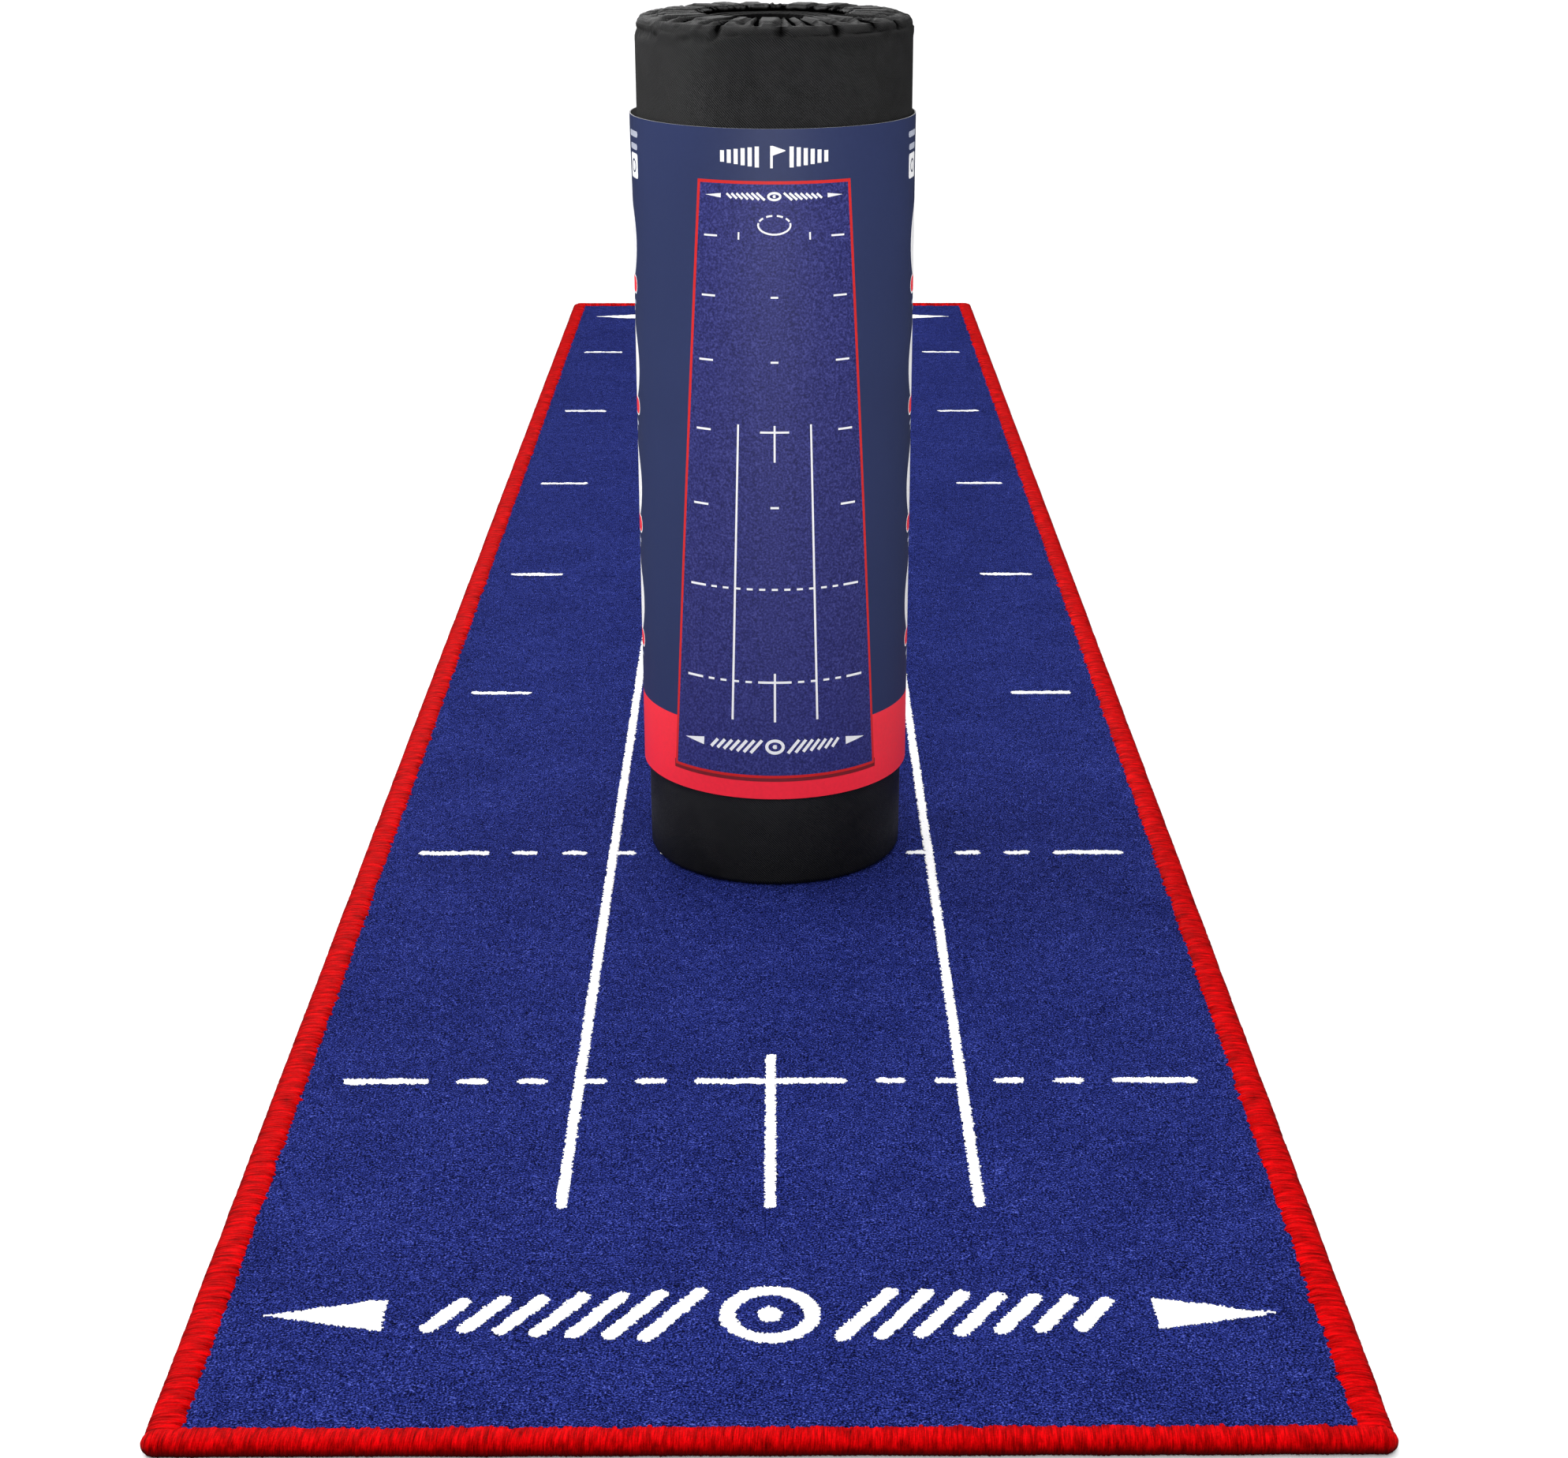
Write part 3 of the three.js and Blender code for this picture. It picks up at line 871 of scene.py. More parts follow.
# The simulated cloth: from the shoulder to the hem before it is drawn in, its grid, and its time.
FREE_CLOTH = 37.0 * MM
GATHER_COLUMNS = 280
GATHER_ROWS = 23
PINNED_ROWS = 4
DRAWN_IN_BY = 30
SETTLED_BY = 44
# Thin woven polyester.
CLOTH_SETTINGS = {
    "quality": 5, "mass": 0.1, "tension_stiffness": 25, "compression_stiffness": 10, "shear_stiffness": 8,
    "bending_stiffness": 4, "tension_damping": 8, "compression_damping": 8, "shear_damping": 8,
    "air_damping": 2, "vertex_group_mass": "held", "pin_stiffness": 10,
}
# What it rests on, the top of the rolled mat: a closed outline, as radius and height in millimetres.
ROLL_TOP_OUTLINE = [(18, 440), (18, 500), (21, 500.9), (72, 500.9), (75.4, 498.8), (76.4, 494), (76.4, 440)]
ROLL_TOP_SIDES = 96
# The folds that run in from the shoulder, and how far their crests and valleys stand off the settled cloth.
FOLD_COUNT = 44
FOLDS_FROM_ROW = 4
FOLD_CREST = 1.7 * MM
FOLD_VALLEY = 2.0 * MM
WIDEST = SHOULDER_RADIUS + 0.3 * MM
HIGHEST = MOUTH_TOP + 1.2 * MM
ROLL_CLEAR_RADIUS = 77.2 * MM
ROLL_CLEAR_TOP = 501.6 * MM


def wall_radius(height):
    return FOOT_RADIUS + (SHOULDER_RADIUS - FOOT_RADIUS) * height / SHOULDER


def ring_points(radius, height, angle):
    """Points around the bag's axis, with heights above its foot."""
    spread = np.broadcast(radius, height, angle).shape
    return np.stack([radius * np.cos(angle), radius * np.sin(angle), np.broadcast_to(height, spread)], -1)


def round_angles(n):
    return np.linspace(0, ROUND, n, endpoint=False)


def roll_top_collider():
    radius, height = np.array(ROLL_TOP_OUTLINE).T[:, :, None] * MM
    points = ring_points(radius, height, round_angles(ROLL_TOP_SIDES)).reshape(-1, 3)
    faces = grid_faces(len(ROLL_TOP_OUTLINE), ROLL_TOP_SIDES, wrap_columns=True, wrap_rows=True)
    collider = fix_normals(make_object("roll_top_collider", points, faces, []))
    collider.modifiers.new("collision", "COLLISION")
    collider.collision.thickness_outer = 0.5 * MM
    collider.collision.cloth_friction = 8
    return collider


def mouth_radius(angle):
    """The drawn-in mouth isn't quite round."""
    return MOUTH_RADIUS + 0.7 * MM * np.sin(3 * angle + 1)


def hem_line(angle):
    """Where the elastic holds the cloth's edge. The cloth is bunched more at some places than others."""
    bunched = angle + 0.06 * np.sin(5 * angle + 0.7) + 0.04 * np.sin(9 * angle + 2.1)
    bunched = bunched + 0.02 * np.sin(14 * angle)
    wave = 0.5 * MM * np.sin(43 * angle + 1.5 * np.sin(3 * angle)) + 0.3 * MM * np.sin(61 * angle + 1)
    return ring_points(mouth_radius(angle) + 0.7 * wave, MOUTH_TOP + 0.5 * wave, bunched)


def gathered_cloth():
    """The bag's cloth above its wall: a tube whose free edge is drawn in to the mouth by cloth simulation.

    Returns rows of points from PINNED_FROM to the hem.
    """
    angle = round_angles(GATHER_COLUMNS)
    heights = np.concatenate([
        np.linspace(PINNED_FROM, SHOULDER, PINNED_ROWS + 1)[:-1],
        SHOULDER + np.linspace(0, FREE_CLOTH, GATHER_ROWS),
    ])[:, None]
    rows = len(heights)
    tube = ring_points(wall_radius(np.minimum(heights, SHOULDER)), heights, angle)
    drawn = tube.copy()
    drawn[-1] = hem_line(angle)
    cloth = make_object("cloth_to_gather", tube.reshape(-1, 3), grid_faces(rows, GATHER_COLUMNS, True), [])
    collider = roll_top_collider()
    cloth.shape_key_add(name="sewn")
    key = cloth.shape_key_add(name="drawn_in")
    key.data.foreach_set("co", drawn.ravel())
    for frame_number, value in ((1, 0.0), (DRAWN_IN_BY, 1.0)):
        key.value = value
        key.keyframe_insert("value", frame=frame_number)
    for curve in cloth.data.shape_keys.animation_data.action.fcurves:
        for point in curve.keyframe_points:
            point.interpolation = "LINEAR"
    pins = cloth.vertex_groups.new(name="held")
    for first, last in ((0, PINNED_ROWS), (rows - 1, rows)):
        pins.add(list(range(GATHER_COLUMNS * first, GATHER_COLUMNS * last)), 1.0, "REPLACE")
    modifier = cloth.modifiers.new("gather", "CLOTH")
    for name, value in CLOTH_SETTINGS.items():
        setattr(modifier.settings, name, value)
    modifier.collision_settings.use_self_collision = False
    modifier.collision_settings.distance_min = 0.5 * MM
    modifier.collision_settings.collision_quality = 2
    modifier.point_cache.frame_end = SETTLED_BY
    scene = bpy.context.scene
    for number in range(1, SETTLED_BY + 1):
        scene.frame_set(number)
    settled = cloth.evaluated_get(bpy.context.evaluated_depsgraph_get())
    found = np.zeros(rows * GATHER_COLUMNS * 3)
    settled.data.vertices.foreach_get("co", found)
    for helper in (cloth, collider):
        bpy.data.objects.remove(helper)
    scene.frame_set(1)
    return found.reshape(rows, GATHER_COLUMNS, 3)


def refined(points, closed):
    """Twice as many points along the first axis, on a smooth curve through the old ones."""
    if closed:
        before, after, beyond = np.roll(points, 1, 0), np.roll(points, -1, 0), np.roll(points, -2, 0)
        between = (9 * (points + after) - before - beyond) / 16
        return np.stack([points, between], 1).reshape(-1, *points.shape[1:])
    padded = np.concatenate([points[:1], points, points[-1:]])
    between = (9 * (padded[1:-2] + padded[2:-1]) - padded[:-3] - padded[3:]) / 16
    woven = np.stack([points[:-1], between], 1).reshape(-1, *points.shape[1:])
    return np.concatenate([woven, points[-1:]])


def bag_foot_and_wall(angle):
    """Rows from under the base, round the fillet and up to where the simulated cloth starts."""
    turn = np.radians(np.linspace(-90, 0, 6))[:, None]
    up = np.linspace(FOOT_FILLET, PINNED_FROM, 14)[1:-1, None]
    fillet = FOOT_RADIUS - FOOT_FILLET + FOOT_FILLET * np.cos(turn)
    radius = np.concatenate([[[BASE_EDGE - TURNED_UNDER]], fillet, wall_radius(up)])
    height = np.concatenate([[[0.05 * MM]], FOOT_FILLET + FOOT_FILLET * np.sin(turn), up])
    slack = make_noise(62)
    # The noise doesn't repeat round the bag, so its last stretch fades into what comes before the first.
    fade_from = 5.6
    fade = eased((angle - fade_from) / (ROUND - fade_from))
    sag, before = (slack(a * BAG_RADIUS, height * 0.5, 55 * MM) for a in (angle, angle - ROUND))
    sag = sag * (1 - fade) + before * fade
    on_wall = eased((height - FOOT_FILLET) / (20 * MM)) * eased((PINNED_FROM - height) / (40 * MM))
    return ring_points(radius + 0.28 * MM * sag * on_wall, height, angle)


def hem_rows(edge):
    """The hem: the cloth's edge turned in and down round the elastic."""
    turn = np.radians(np.linspace(90, 262, 9))[1:, None, None]
    out = edge[..., :2] / np.linalg.norm(edge[..., :2], axis=-1, keepdims=True)
    across = HEM_HALF_WIDTH * np.cos(turn) * out[None]
    up = HEM_HALF_HEIGHT * (np.sin(turn) - 1) * np.ones((1, len(edge), 1))
    return edge[None] + np.concatenate([across, up], -1)


def fold_valleys(angle, share):
    """How deep each point lies in a fold, 0 to 1. share is 0 at the shoulder and 1 at the hem."""
    chance = np.random.default_rng(66)
    start = ROUND * (np.arange(FOLD_COUNT) + chance.uniform(-0.36, 0.36, FOLD_COUNT)) / FOLD_COUNT
    valley = np.zeros(np.broadcast(angle, share).shape)
    for k in range(FOLD_COUNT):
        # Each fold has its own half width in radians, place where it begins, depth and lean.
        width = chance.uniform(0.045, 0.10)
        begins = chance.uniform(0.0, 0.32)
        depth = chance.uniform(0.55, 1.0)
        lean = chance.normal(0, 0.09)
        away = np.abs((angle - start[k] - lean * share + math.pi) % ROUND - math.pi)
        along = eased((share - begins) / 0.2)
        width = width * (0.6 + 0.4 * along)
        valley = np.maximum(valley, depth * along * np.clip(1 - away / width, 0, 1))
    return valley


def folded(points):
    """The settled cloth with folds pressed in. Returns the points, how deep each one lies, and its share
    of the way from the shoulder to the hem."""
    base = points
    for _ in range(30):
        base = (np.roll(base, 1, 1) + 2 * base + np.roll(base, -1, 1)) / 4
    outward_normal = np.cross(np.roll(base, -1, 1) - np.roll(base, 1, 1), np.gradient(base, axis=0))
    outward_normal /= np.linalg.norm(outward_normal, axis=-1, keepdims=True)
    rows = len(points)
    share = np.clip((np.arange(rows)[:, None] - FOLDS_FROM_ROW) / (rows - 1 - FOLDS_FROM_ROW), 0, 1)
    valley = fold_valleys(np.arctan2(base[..., 1], base[..., 0]), share)
    crest = FOLD_CREST * eased(share / 0.2)
    push = eased(share / 0.18) * (crest - (crest + FOLD_VALLEY) * valley) * eased((1 - share) / 0.06)
    # The simulation's own crumples are kept in part, and more of them near the hem.
    detail = 0.25 + 0.5 * eased((share - 0.7) / 0.3)
    pressed = base + detail[..., None] * (points - base) + outward_normal * push[..., None]
    radius = np.hypot(pressed[..., 0], pressed[..., 1])
    pressed[..., :2] *= np.minimum(1, WIDEST / radius)[..., None]
    radius = np.minimum(radius, WIDEST)
    height = pressed[..., 2]
    # The cloth stays outside the rolled mat: each point inside it goes out by the shorter way.
    side_gap = ROLL_CLEAR_RADIUS - radius
    top_gap = ROLL_CLEAR_TOP - height
    inside = (side_gap > 0) & (top_gap > 0)
    pushed_out = inside & (top_gap > side_gap)
    pressed[..., 2] = np.where(inside & ~pushed_out, ROLL_CLEAR_TOP, np.minimum(height, HIGHEST))
    pressed[..., :2] *= np.where(pushed_out, ROLL_CLEAR_RADIUS / radius, 1.0)[..., None]
    return pressed, valley, share * np.ones_like(radius)


def make_bag():
    fine = refined(refined(gathered_cloth(), False).swapaxes(0, 1), True).swapaxes(0, 1)
    fine, valley, share = folded(fine)
    n = fine.shape[1]
    wall, hem = bag_foot_and_wall(round_angles(n)[None, :]), hem_rows(fine[-1])
    points = np.concatenate([wall, fine, hem]) + BAG_AXIS + (0, 0, BAG_FOOT)
    # What the cloth's material reads to paint shade into it: in a fold, on the bag's top, and low down.
    on_wall = np.zeros(wall.shape[:2])
    in_fold = np.concatenate([on_wall, valley, np.tile(valley[-1], (len(hem), 1))])
    on_top = np.concatenate([on_wall, eased(share / 0.15), np.ones(hem.shape[:2])])
    # Painted shade: the cloth darkens towards its foot.
    low_down = 0.6 * eased(1.3 - (points[..., 2] - BAG_FOOT) / FOOT_SHADE_HEIGHT)
    faces = grid_faces(len(points), n, wrap_columns=True)
    bag = make_object("bag_cloth", points.reshape(-1, 3), faces, [CLOTH])
    store_vector(bag, "gather", np.stack([in_fold, on_top, low_down], -1))
    thicken(bag, CLOTH_THICKNESS, -1)
    declare(bag, "bag_cloth", "carry_bag", "bag_wall", "gathered_top")
    make_elastic_ring()


def make_elastic_ring():
    """The flat elastic inside the hem."""
    turns = round_angles(240)
    out = outward(turns)
    path = out * mouth_radius(turns)[:, None] + BAG_AXIS + (0, 0, BAG_FOOT + MOUTH_TOP - HEM_HALF_HEIGHT)
    around = round_angles(10)
    ribs = 1 + 0.06 * np.sin(60 * turns)
    section = np.stack([1.1 * MM * np.cos(around), 0.5 * MM * np.sin(around)], -1) * ribs[:, None, None]
    ring = sweep("hem_elastic_cord", path, out, UP, section, [ELASTIC], closed_path=True)
    declare(ring, "elastic_cord", "carry_bag", "hem_elastic")
    return ring


def make_base_panel():
    """The round panel sewn in at the bag's foot. Near its edge the seam allowance stands out downwards."""
    rings, n = 22, 144
    radius = np.linspace(0.6 * MM, BASE_EDGE, rings)[:, None]
    angle = round_angles(n)[None, :]
    x, y = radius * np.cos(angle), radius * np.sin(angle)
    ridge = np.exp(-((radius - BASE_EDGE + 3 * MM) / (1.5 * MM)) ** 2) * -0.12 * MM
    z = 0.85 * MM + 0.06 * MM * make_noise(64)(x, y, 19 * MM) + ridge * (1 + 0.4 * np.sin(90 * angle))
    points = np.stack([x, y, z], -1) + BAG_AXIS + (0, 0, BAG_FOOT)
    faces = grid_faces(rings, n, wrap_columns=True) + [list(range(n))[::-1]]
    panel = make_object("bag_base_panel", points.reshape(-1, 3), faces, [BASE_CLOTH])
    thicken(panel, 0.25 * MM, 0)
    declare(panel, "bag_cloth", "carry_bag", "bag_base")


# ------------------------ the card sleeve

CARD = 0.7 * MM
CARD_INNER_RADIUS = 80.3 * MM
CARD_RADIUS = CARD_INNER_RADIUS + CARD
LAP_ANGLE = 0.3
SLEEVE_HEIGHT = card_hi.z - card_lo.z
FLARE_HEIGHT = 60 * MM
RED_BAND = 44.5 * MM
FRONT = -math.pi / 2
LEFT = math.pi
FILM_DEPTH = 0.05 * MM


def looseness(angle, height):
    """How far the card stands off its round at the left: a little all the way up, more at the top."""
    beside = np.clip(np.cos(angle - LEFT), 0, 1)
    up = np.clip(height / SLEEVE_HEIGHT, 0, 1)
    flare = eased((height - SLEEVE_HEIGHT + FLARE_HEIGHT) / FLARE_HEIGHT)
    return 0.8 * MM * beside * up + 0.9 * MM * beside ** 8 * flare


def on_sleeve(arc, height, proud=0.0):
    """A point on the sleeve's face: arc is the distance round from the front, height is above its foot."""
    angle = FRONT + arc / CARD_RADIUS
    radius = CARD_RADIUS + looseness(angle, height) + proud
    return ring_points(radius, card_lo.z + height, angle) + BAG_AXIS


def make_card():
    """The sleeve itself: one card whose last stretch laps over its first at the back."""
    turn = np.linspace(0, ROUND + LAP_ANGLE, 320)
    ramp = eased((turn - ROUND + 1.5 * LAP_ANGLE) / LAP_ANGLE)
    angle = turn - FRONT
    out = outward(angle)
    path = out * (CARD_INNER_RADIUS + (CARD + 0.3 * MM) * ramp)[:, None] + BAG_AXIS + (0, 0, card_lo.z)
    flare_from = SLEEVE_HEIGHT - FLARE_HEIGHT
    levels = np.concatenate([
        [0.0], np.linspace(RED_BAND, flare_from, 5), np.linspace(flare_from, SLEEVE_HEIGHT, 7)[1:]
    ])
    loose = looseness(angle[:, None], levels[None, :])
    outer, inner = (np.stack([side + loose, np.broadcast_to(levels, loose.shape)], -1) for side in (CARD, 0))
    section = np.concatenate([outer, inner[:, ::-1]], 1)
    card = sweep("sleeve_card", path, out, UP, section, [NAVY_INK, RED_INK, RAW_CARD])
    strips = [1] + [0] * (len(levels) - 2) + [2] * (len(levels) + 1)
    card.data.polygons.foreach_set("material_index", strips * (len(turn) - 1) + [2, 2])
    keep_square_edges(card)
    declare(card, "printed_card", "sleeve", "card_sleeve")


def print_film(name, grids, material, proud):
    """Ink on the sleeve. Each grid of (arc, height) points becomes a thin closed patch on its face."""
    points, faces, first = [], [], 0
    for grid in grids:
        du, dv = grid[0, -1] - grid[0, 0], grid[-1, 0] - grid[0, 0]
        if du[0] * dv[1] - du[1] * dv[0] < 0:
            grid = grid[:, ::-1]
        r, c = grid.shape[:2]
        n = r * c
        for level in (proud, -FILM_DEPTH):
            points.append(on_sleeve(grid[..., 0], grid[..., 1], level).reshape(-1, 3))
        quads = np.array(grid_faces(r, c)) + first
        number = np.arange(n).reshape(r, c) + first
        rim = [*number[0], *number[1:, -1], *number[-1, -2::-1], *number[-2:0:-1, 0]]
        faces += quads.tolist() + (quads[:, ::-1] + n).tolist()
        faces += [[int(b), int(a), int(a + n), int(b + n)] for a, b in zip(rim, rim[1:] + rim[:1])]
        first += 2 * n
    film = make_object(name, np.concatenate(points), faces, [material], smooth_shade=False)
    declare(film, "printed_card", "sleeve")


def filled(left, right, columns):
    """A grid of points from a left to a right edge."""
    u = np.linspace(0, 1, columns)[None, :, None]
    return left[:, None, :] * (1 - u) + right[:, None, :] * u


def patch(left, right, rows, columns=24):
    """A grid between a left and a right edge, each a few points (arc, height)."""
    edges = []
    for edge in (left, right):
        edge = np.array(edge, float)
        t, place = np.linspace(0, 1, rows), np.linspace(0, 1, len(edge))
        edges.append(np.stack([np.interp(t, place, edge[:, k]) for k in (0, 1)], -1))
    return filled(*edges, columns)


def ribbon(points, width):
    """A stroke of the given width, or widths, along points in (arc, height)."""
    points = np.array(points, float)
    tangent = np.gradient(points, axis=0)
    tangent /= np.linalg.norm(tangent, axis=1)[:, None]
    normal = np.stack([-tangent[:, 1], tangent[:, 0]], -1)
    half = np.broadcast_to(np.asarray(width, float) / 2, (len(points),))[:, None]
    return np.stack([points - normal * half, points + normal * half], 1)


def bar(a, b, width, steps=6):
    """A straight stroke in short steps, so that it follows the sleeve's curve."""
    t = np.linspace(0, 1, steps)[:, None]
    return ribbon(np.array(a) * (1 - t) + np.array(b) * t, width)


def rounded(cx, cz, half_w, half_h, corner, rows=15, columns=18):
    """A filled rounded rectangle as a grid. With a corner of half its size it is a disc."""
    heights = half_h * np.sin(np.linspace(-math.pi / 2, math.pi / 2, rows))
    over = np.clip(np.abs(heights) - (half_h - corner), 0, corner)
    inset = (corner - np.sqrt(np.maximum(corner ** 2 - over ** 2, 0))) * 0.99
    left, right = (np.stack([cx + side * (half_w - inset), cz + heights], -1) for side in (-1, 1))
    return filled(left, right, columns)


def circle_line(cx, cz, radius, width):
    angles = np.linspace(0, ROUND, 41)
    return ribbon(np.stack([cx + radius * np.cos(angles), cz + radius * np.sin(angles)], -1), width)


# The picture of the mat: a trapezium, as the mat looks from its near end. Its eye is this far before the mat.
PICTURE_EYE = 5.0
PICTURE_FOOT = 13.3 * MM
PICTURE_TOP = 363 * MM
PICTURE_HALF_FOOT = 67 * MM
PICTURE_HALF_TOP = 44 * MM
PICTURE_BORDER = 1.7 * MM
# Where the printed picture's marks differ from the mat's own.
PICTURE_CHANGES = {"first_line": 0.295, "gate_start": 0.172, "ring_radius": 0.049, "ring_beyond": 0.062}
PICTURE_STROKE = 1.02


def picture_half(share):
    """Half the picture's width, part of the way up."""
    return PICTURE_HALF_FOOT + (PICTURE_HALF_TOP - PICTURE_HALF_FOOT) * share


def picture_place(x, s):
    """Where a point of the mat lies in the printed picture: arc from the front, height, and scale."""
    share = s / (PICTURE_EYE + s) * (PICTURE_EYE + LENGTH) / LENGTH
    height = PICTURE_FOOT + (PICTURE_TOP - PICTURE_FOOT) * share
    half = picture_half(share)
    return x / HALF_WIDTH * half, height, half / PICTURE_HALF_FOOT


def picture_area(inset):
    """The picture's trapezium moved in by inset."""
    heights = np.linspace(PICTURE_FOOT + inset, PICTURE_TOP - inset, 12)
    half = picture_half((heights - PICTURE_FOOT) / (PICTURE_TOP - PICTURE_FOOT)) - inset
    return patch(np.stack([-half, heights], -1), np.stack([half, heights], -1), 12, 60)


def make_picture():
    reach = PICTURE_HALF_FOOT + 0.6 * MM
    low, high = PICTURE_FOOT - 2.2 * MM, PICTURE_FOOT + 3 * MM
    shade = patch([(-reach, low), (-reach, high)], [(reach, low), (reach, high)], 3, 60)
    print_film("picture_shade", [shade], SHADE_INK, 0.03 * MM)
    print_film("picture_border", [picture_area(0.0)], BORDER_INK, 0.07 * MM)
    print_film("picture_turf", [picture_area(PICTURE_BORDER)], PICTURE_TURF, 0.11 * MM)
    grids = []
    for kind, points, width in mat_marks(**PICTURE_CHANGES):
        points = np.array(points)
        if kind == "polygon":
            arc, height, _ = picture_place(*points.T)
            corners = np.stack([arc, height], -1)
            tip = int(np.argmax(np.abs(arc)))
            (start, low), (_, high) = [(corners[tip], corners[k]) for k in range(3) if k != tip]
            grids.append(patch((start, low), (start + (0, 0.02 * MM), high), 14, 5))
            continue
        if len(points) == 2:
            # A ribbon has square ends, so a straight stroke is drawn out by its round ends.
            run = (points[1] - points[0]) / np.linalg.norm(points[1] - points[0]) * width * 0.45
            points = points + [-run, run]
        steps = np.linspace(0, len(points) - 1, max(len(points), 9))
        arc, height, scale = picture_place(*(np.interp(steps, range(len(points)), axis) for axis in points.T))
        width = width * PICTURE_STROKE * PICTURE_HALF_FOOT / HALF_WIDTH * scale
        grids.append(ribbon(np.stack([arc, height], -1), width))
    print_film("picture_marks", grids, WHITE_INK, 0.15 * MM)


# The side prints: a column of round panels on each side, each with a red label and two plain bars under it.
# Over each column stands a small square with a ring in it, under two bars.
PANEL_RADIUS = 26.5 * MM
PANEL_PITCH = 71.8 * MM
PANEL_ANGLE = math.radians(94.0)
TOP_PANEL = 318.7 * MM
LABEL_BELOW = 24 * MM
LABEL_HALF = (25.7 * MM, 5.5 * MM)
LABEL_EDGE = 1 * MM
SMALL_ANGLE = math.radians(75)
SMALL_HALF = 7 * MM
SMALL_BELOW_TOP = 27.5 * MM


def pictogram(kind, cx, cz):
    """A plain scheme of a putting drill, whose meaning is left open. Sizes are in millimetres."""

    def line(x0, z0, x1, z1, width):
        return bar((cx + x0 * MM, cz + z0 * MM), (cx + x1 * MM, cz + z1 * MM), width * MM)

    def dot(z, radius):
        return rounded(cx, cz + z * MM, radius * MM, radius * MM, radius * MM, 9, 6)

    return (
        [circle_line(cx, cz + 8 * MM, 5 * MM, 1.2 * MM), line(0, -16, 0, -1, 1.4)],
        [line(-8, -4, -8, 12, 1.6), line(8, -4, 8, 12, 1.6), dot(-10, 2.6)],
        [dot(8 * k - 9, 3 - 0.5 * k) for k in range(4)],
        [line(-4, -12, -4, 15, 1.4), line(-3.5, 11, 8, 11, np.linspace(8, 0.5, 6))],
    )[kind]


def make_side_prints():
    white, red, bars, dark = [], [], [], []
    half_w, half_h = LABEL_HALF
    for side in (-1, 1):
        centre = side * PANEL_ANGLE * CARD_RADIUS
        for k in range(4):
            z = TOP_PANEL - k * PANEL_PITCH
            label = z - LABEL_BELOW
            white.append(rounded(centre, z, PANEL_RADIUS, PANEL_RADIUS, PANEL_RADIUS, 25, 26))
            dark += pictogram(k, centre, z)
            for films, edge in ((white, 0), (red, LABEL_EDGE)):
                corner = half_h - edge - 0.1 * MM
                films.append(rounded(centre, label, half_w - edge, half_h - edge, corner, 13, 26))
            for below, half in ((10.8 * MM, 20 * MM), (15.2 * MM, 15 * MM)):
                bars.append(rounded(centre, label - below, half, 1.2 * MM, 1.1 * MM, 7, 16))
        small = side * SMALL_ANGLE * CARD_RADIUS
        z = SLEEVE_HEIGHT - SMALL_BELOW_TOP
        white.append(rounded(small, z, SMALL_HALF, SMALL_HALF, 1.6 * MM, 11, 8))
        dark.append(circle_line(small, z, 3.4 * MM, 1.0 * MM))
        for drop, half in ((9.7 * MM, 8 * MM), (16.8 * MM, 7 * MM)):
            bars.append(rounded(small, SLEEVE_HEIGHT - drop, half, 1.7 * MM, 1.5 * MM, 7, 8))
    print_film("side_panels", white, WHITE_INK, 0.05 * MM)
    print_film("side_labels", red, RED_INK, 0.10 * MM)
    print_film("side_bars", bars, GREY_INK, 0.06 * MM)
    print_film("side_shapes", dark, NAVY_INK, 0.10 * MM)


def make_heading():
    """A plain heading in place of words: a flag between rows of upright bars."""
    z = SLEEVE_HEIGHT - 15 * MM
    marks = [bar((-1.5 * MM, z - 6 * MM), (-1.5 * MM, z + 6 * MM), 1.4 * MM)]
    marks.append(bar((-1 * MM, z + 3.4 * MM), (6 * MM, z + 3.4 * MM), np.linspace(5.4, 0.5, 6) * MM))
    for side in (-1, 1):
        for k in range(6):
            arc = side * (9.5 + 3.9 * k) * MM
            half = (5.6 - 0.5 * k) * MM
            marks.append(bar((arc, z - half), (arc, z + half), 2.3 * MM, 2))
    print_film("sleeve_heading", marks, WHITE_INK, 0.06 * MM)


# ------------------------ stage

FLOOR_HALF = 14.0
# The camera stands past the near end, over the mat's long axis, and looks down along it. Angles in degrees.
CAMERA_PLACE = (0.0023, NEAR_END - 0.8661, 0.6312)
CAMERA_DOWN = 20.24
CAMERA_TURN = -0.223
CAMERA_LENS = 58.95
CAMERA_SENSOR = 36
# Softboxes: name, place, height aimed at beside the bag's axis, size, power, seen only in reflections.
SOFTBOXES = (
    ("left_rim", (-1.6, 0.0, 1.3), 0.5, (0.5, 0.8), 11, False),
    ("right_rim", (1.7, 0.2, 1.2), 0.4, (0.5, 0.8), 1.5, False),
    ("front_fill", (-0.3, -3.3, 2.2), 0.3, (1.2, 1.0), 40, False),
    ("front_glow", (-0.05, -2.4, 1.05), 0.4, (1.3, 0.7), 19, True),
    ("back_glow", (-0.5, 1.3, 1.2), 0.5, (1.6, 0.6), 9, True),
)


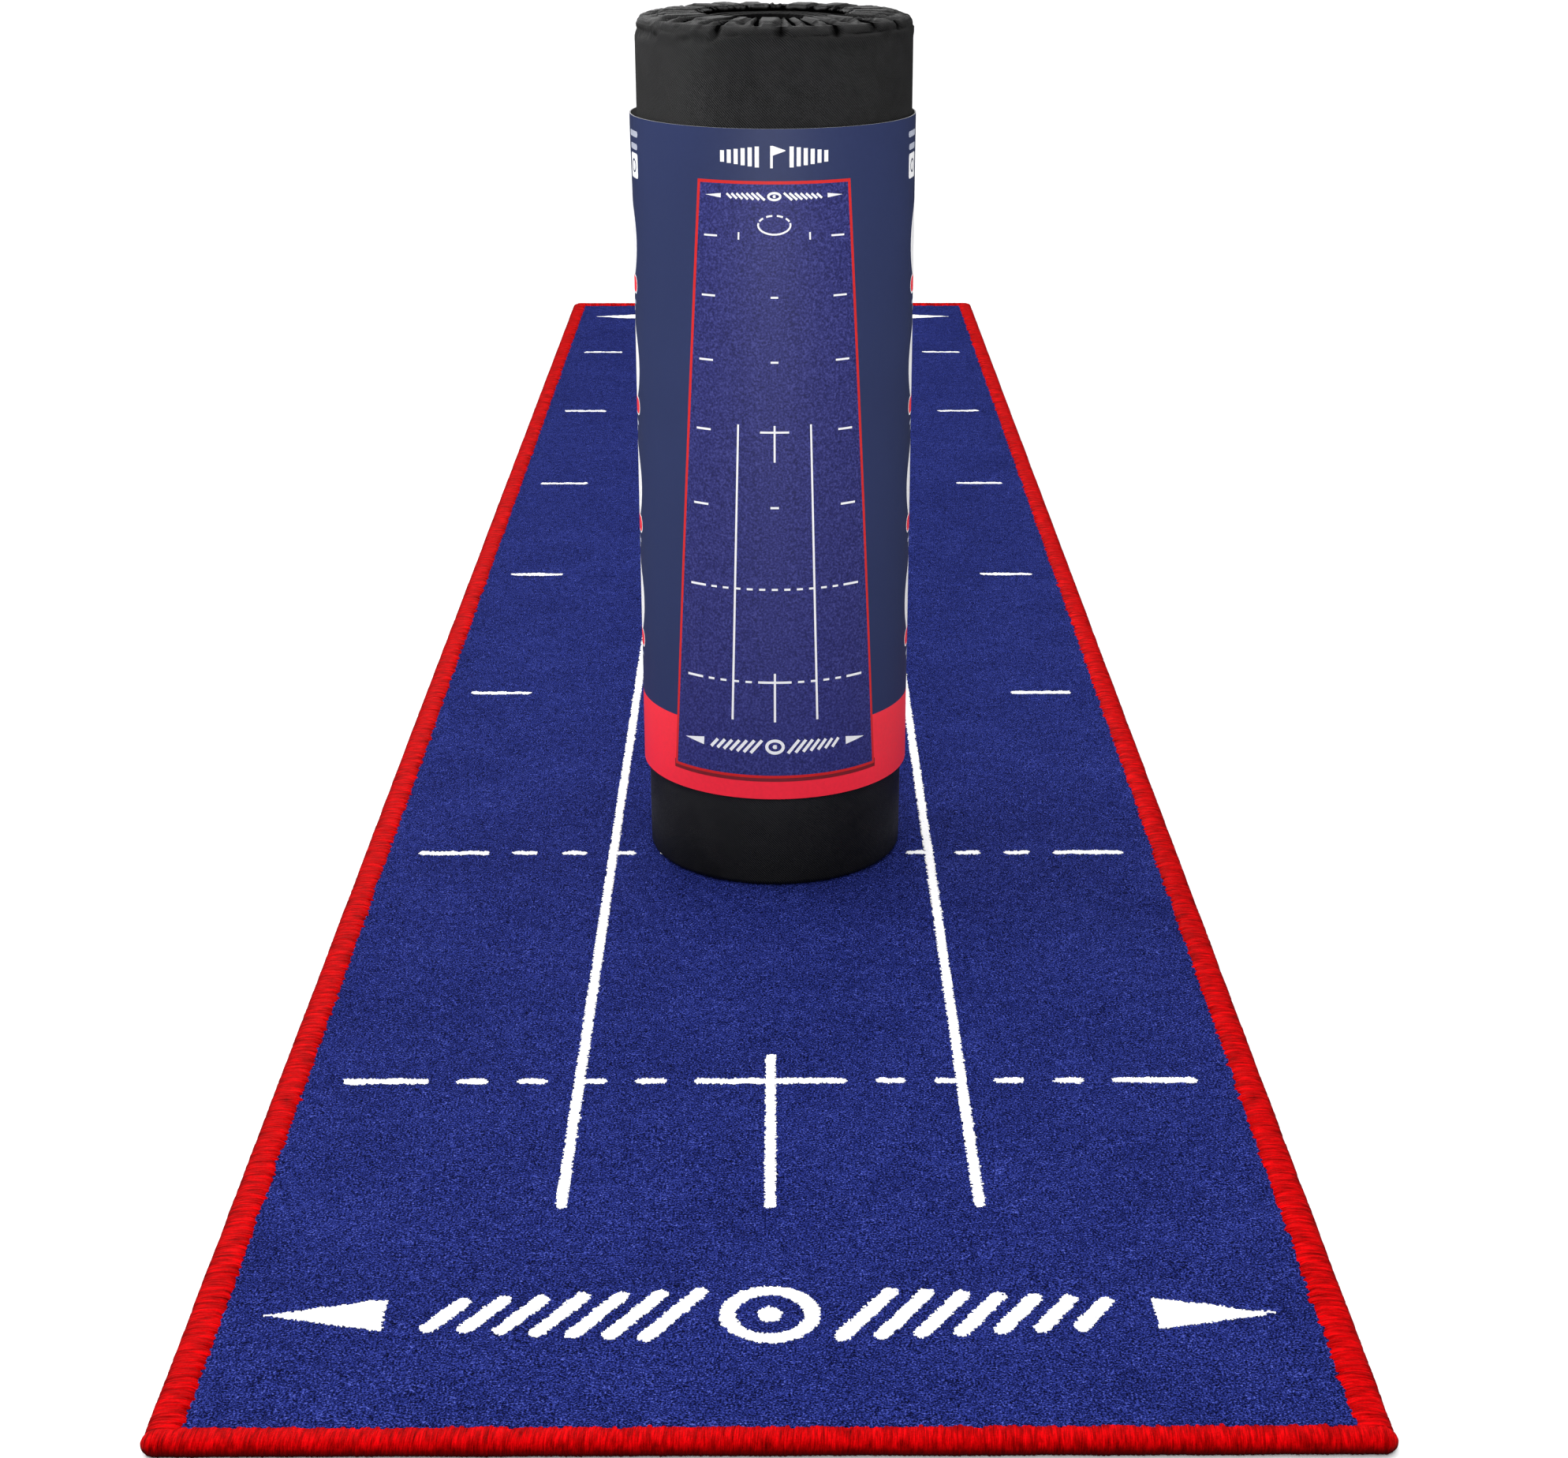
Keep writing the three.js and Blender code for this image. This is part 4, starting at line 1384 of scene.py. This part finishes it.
def make_floor():
    paper = Nodes("paper", roughness=1.0, specular=0.0)
    paper.color((0.92, 0.92, 0.925))
    corners = [(x * FLOOR_HALF, y * FLOOR_HALF, 0) for x, y in ((-1, -1), (1, -1), (1, 1), (-1, 1))]
    floor = make_object("floor", corners, [(0, 1, 2, 3)], [paper.material])
    floor.location.z = -0.1 * MM
    floor.visible_glossy = False


def make_world():
    """White sky, brightest overhead."""
    world = bpy.data.worlds.new("studio")
    bpy.context.scene.world = world
    world.use_nodes = True
    sky = Tree(world.node_tree)
    height = sky.between(sky.axes(sky.add("ShaderNodeTexCoord").outputs["Generated"])[2], 0.45, 1.0)
    # Reflections see a dim room, so that glancing surfaces keep their own colour.
    dim = sky.between(sky.add("ShaderNodeLightPath").outputs["Is Glossy Ray"], 1.0, 0.12)
    background = world.node_tree.nodes["Background"]
    sky.put(background.inputs["Color"], (1, 1, 1))
    sky.put(background.inputs["Strength"], sky.math("MULTIPLY", height, dim))


def aim(light, place, target):
    obj = bpy.data.objects.new(light.name, light)
    obj.location = place
    obj.rotation_euler = (Vector(target) - Vector(place)).to_track_quat("-Z", "Y").to_euler()
    bpy.context.scene.collection.objects.link(obj)
    return obj


def make_lights():
    key = bpy.data.lights.new("key", "SUN")
    key.energy = 1.45
    key.angle = math.radians(70)
    aim(key, (-0.8, 1.2, 4.0), (0, 0, 0))
    for name, place, aimed_at, size, power, gloss_only in SOFTBOXES:
        light = bpy.data.lights.new(name, "AREA")
        light.shape = "RECTANGLE"
        light.size, light.size_y = size
        light.energy = power
        box = aim(light, place, (0, BAG_CENTRE.y, aimed_at))
        box.visible_camera = False
        box.visible_diffuse = not gloss_only
    bpy.context.scene.view_settings.view_transform = "Standard"


def make_camera():
    data = bpy.data.cameras.new("camera")
    data.lens = CAMERA_LENS
    data.sensor_width = CAMERA_SENSOR
    camera = bpy.data.objects.new("camera", data)
    camera.location = CAMERA_PLACE
    camera.rotation_euler = (math.radians(90 - CAMERA_DOWN), 0, math.radians(CAMERA_TURN))
    bpy.context.scene.collection.objects.link(camera)
    bpy.context.scene.camera = camera


make_turf_and_backing()
make_marks()
make_side_bindings()
make_end_bindings()
make_rolled_mat()
make_bag()
make_base_panel()
make_card()
make_picture()
make_side_prints()
make_heading()
make_floor()
make_world()
make_lights()
make_camera()
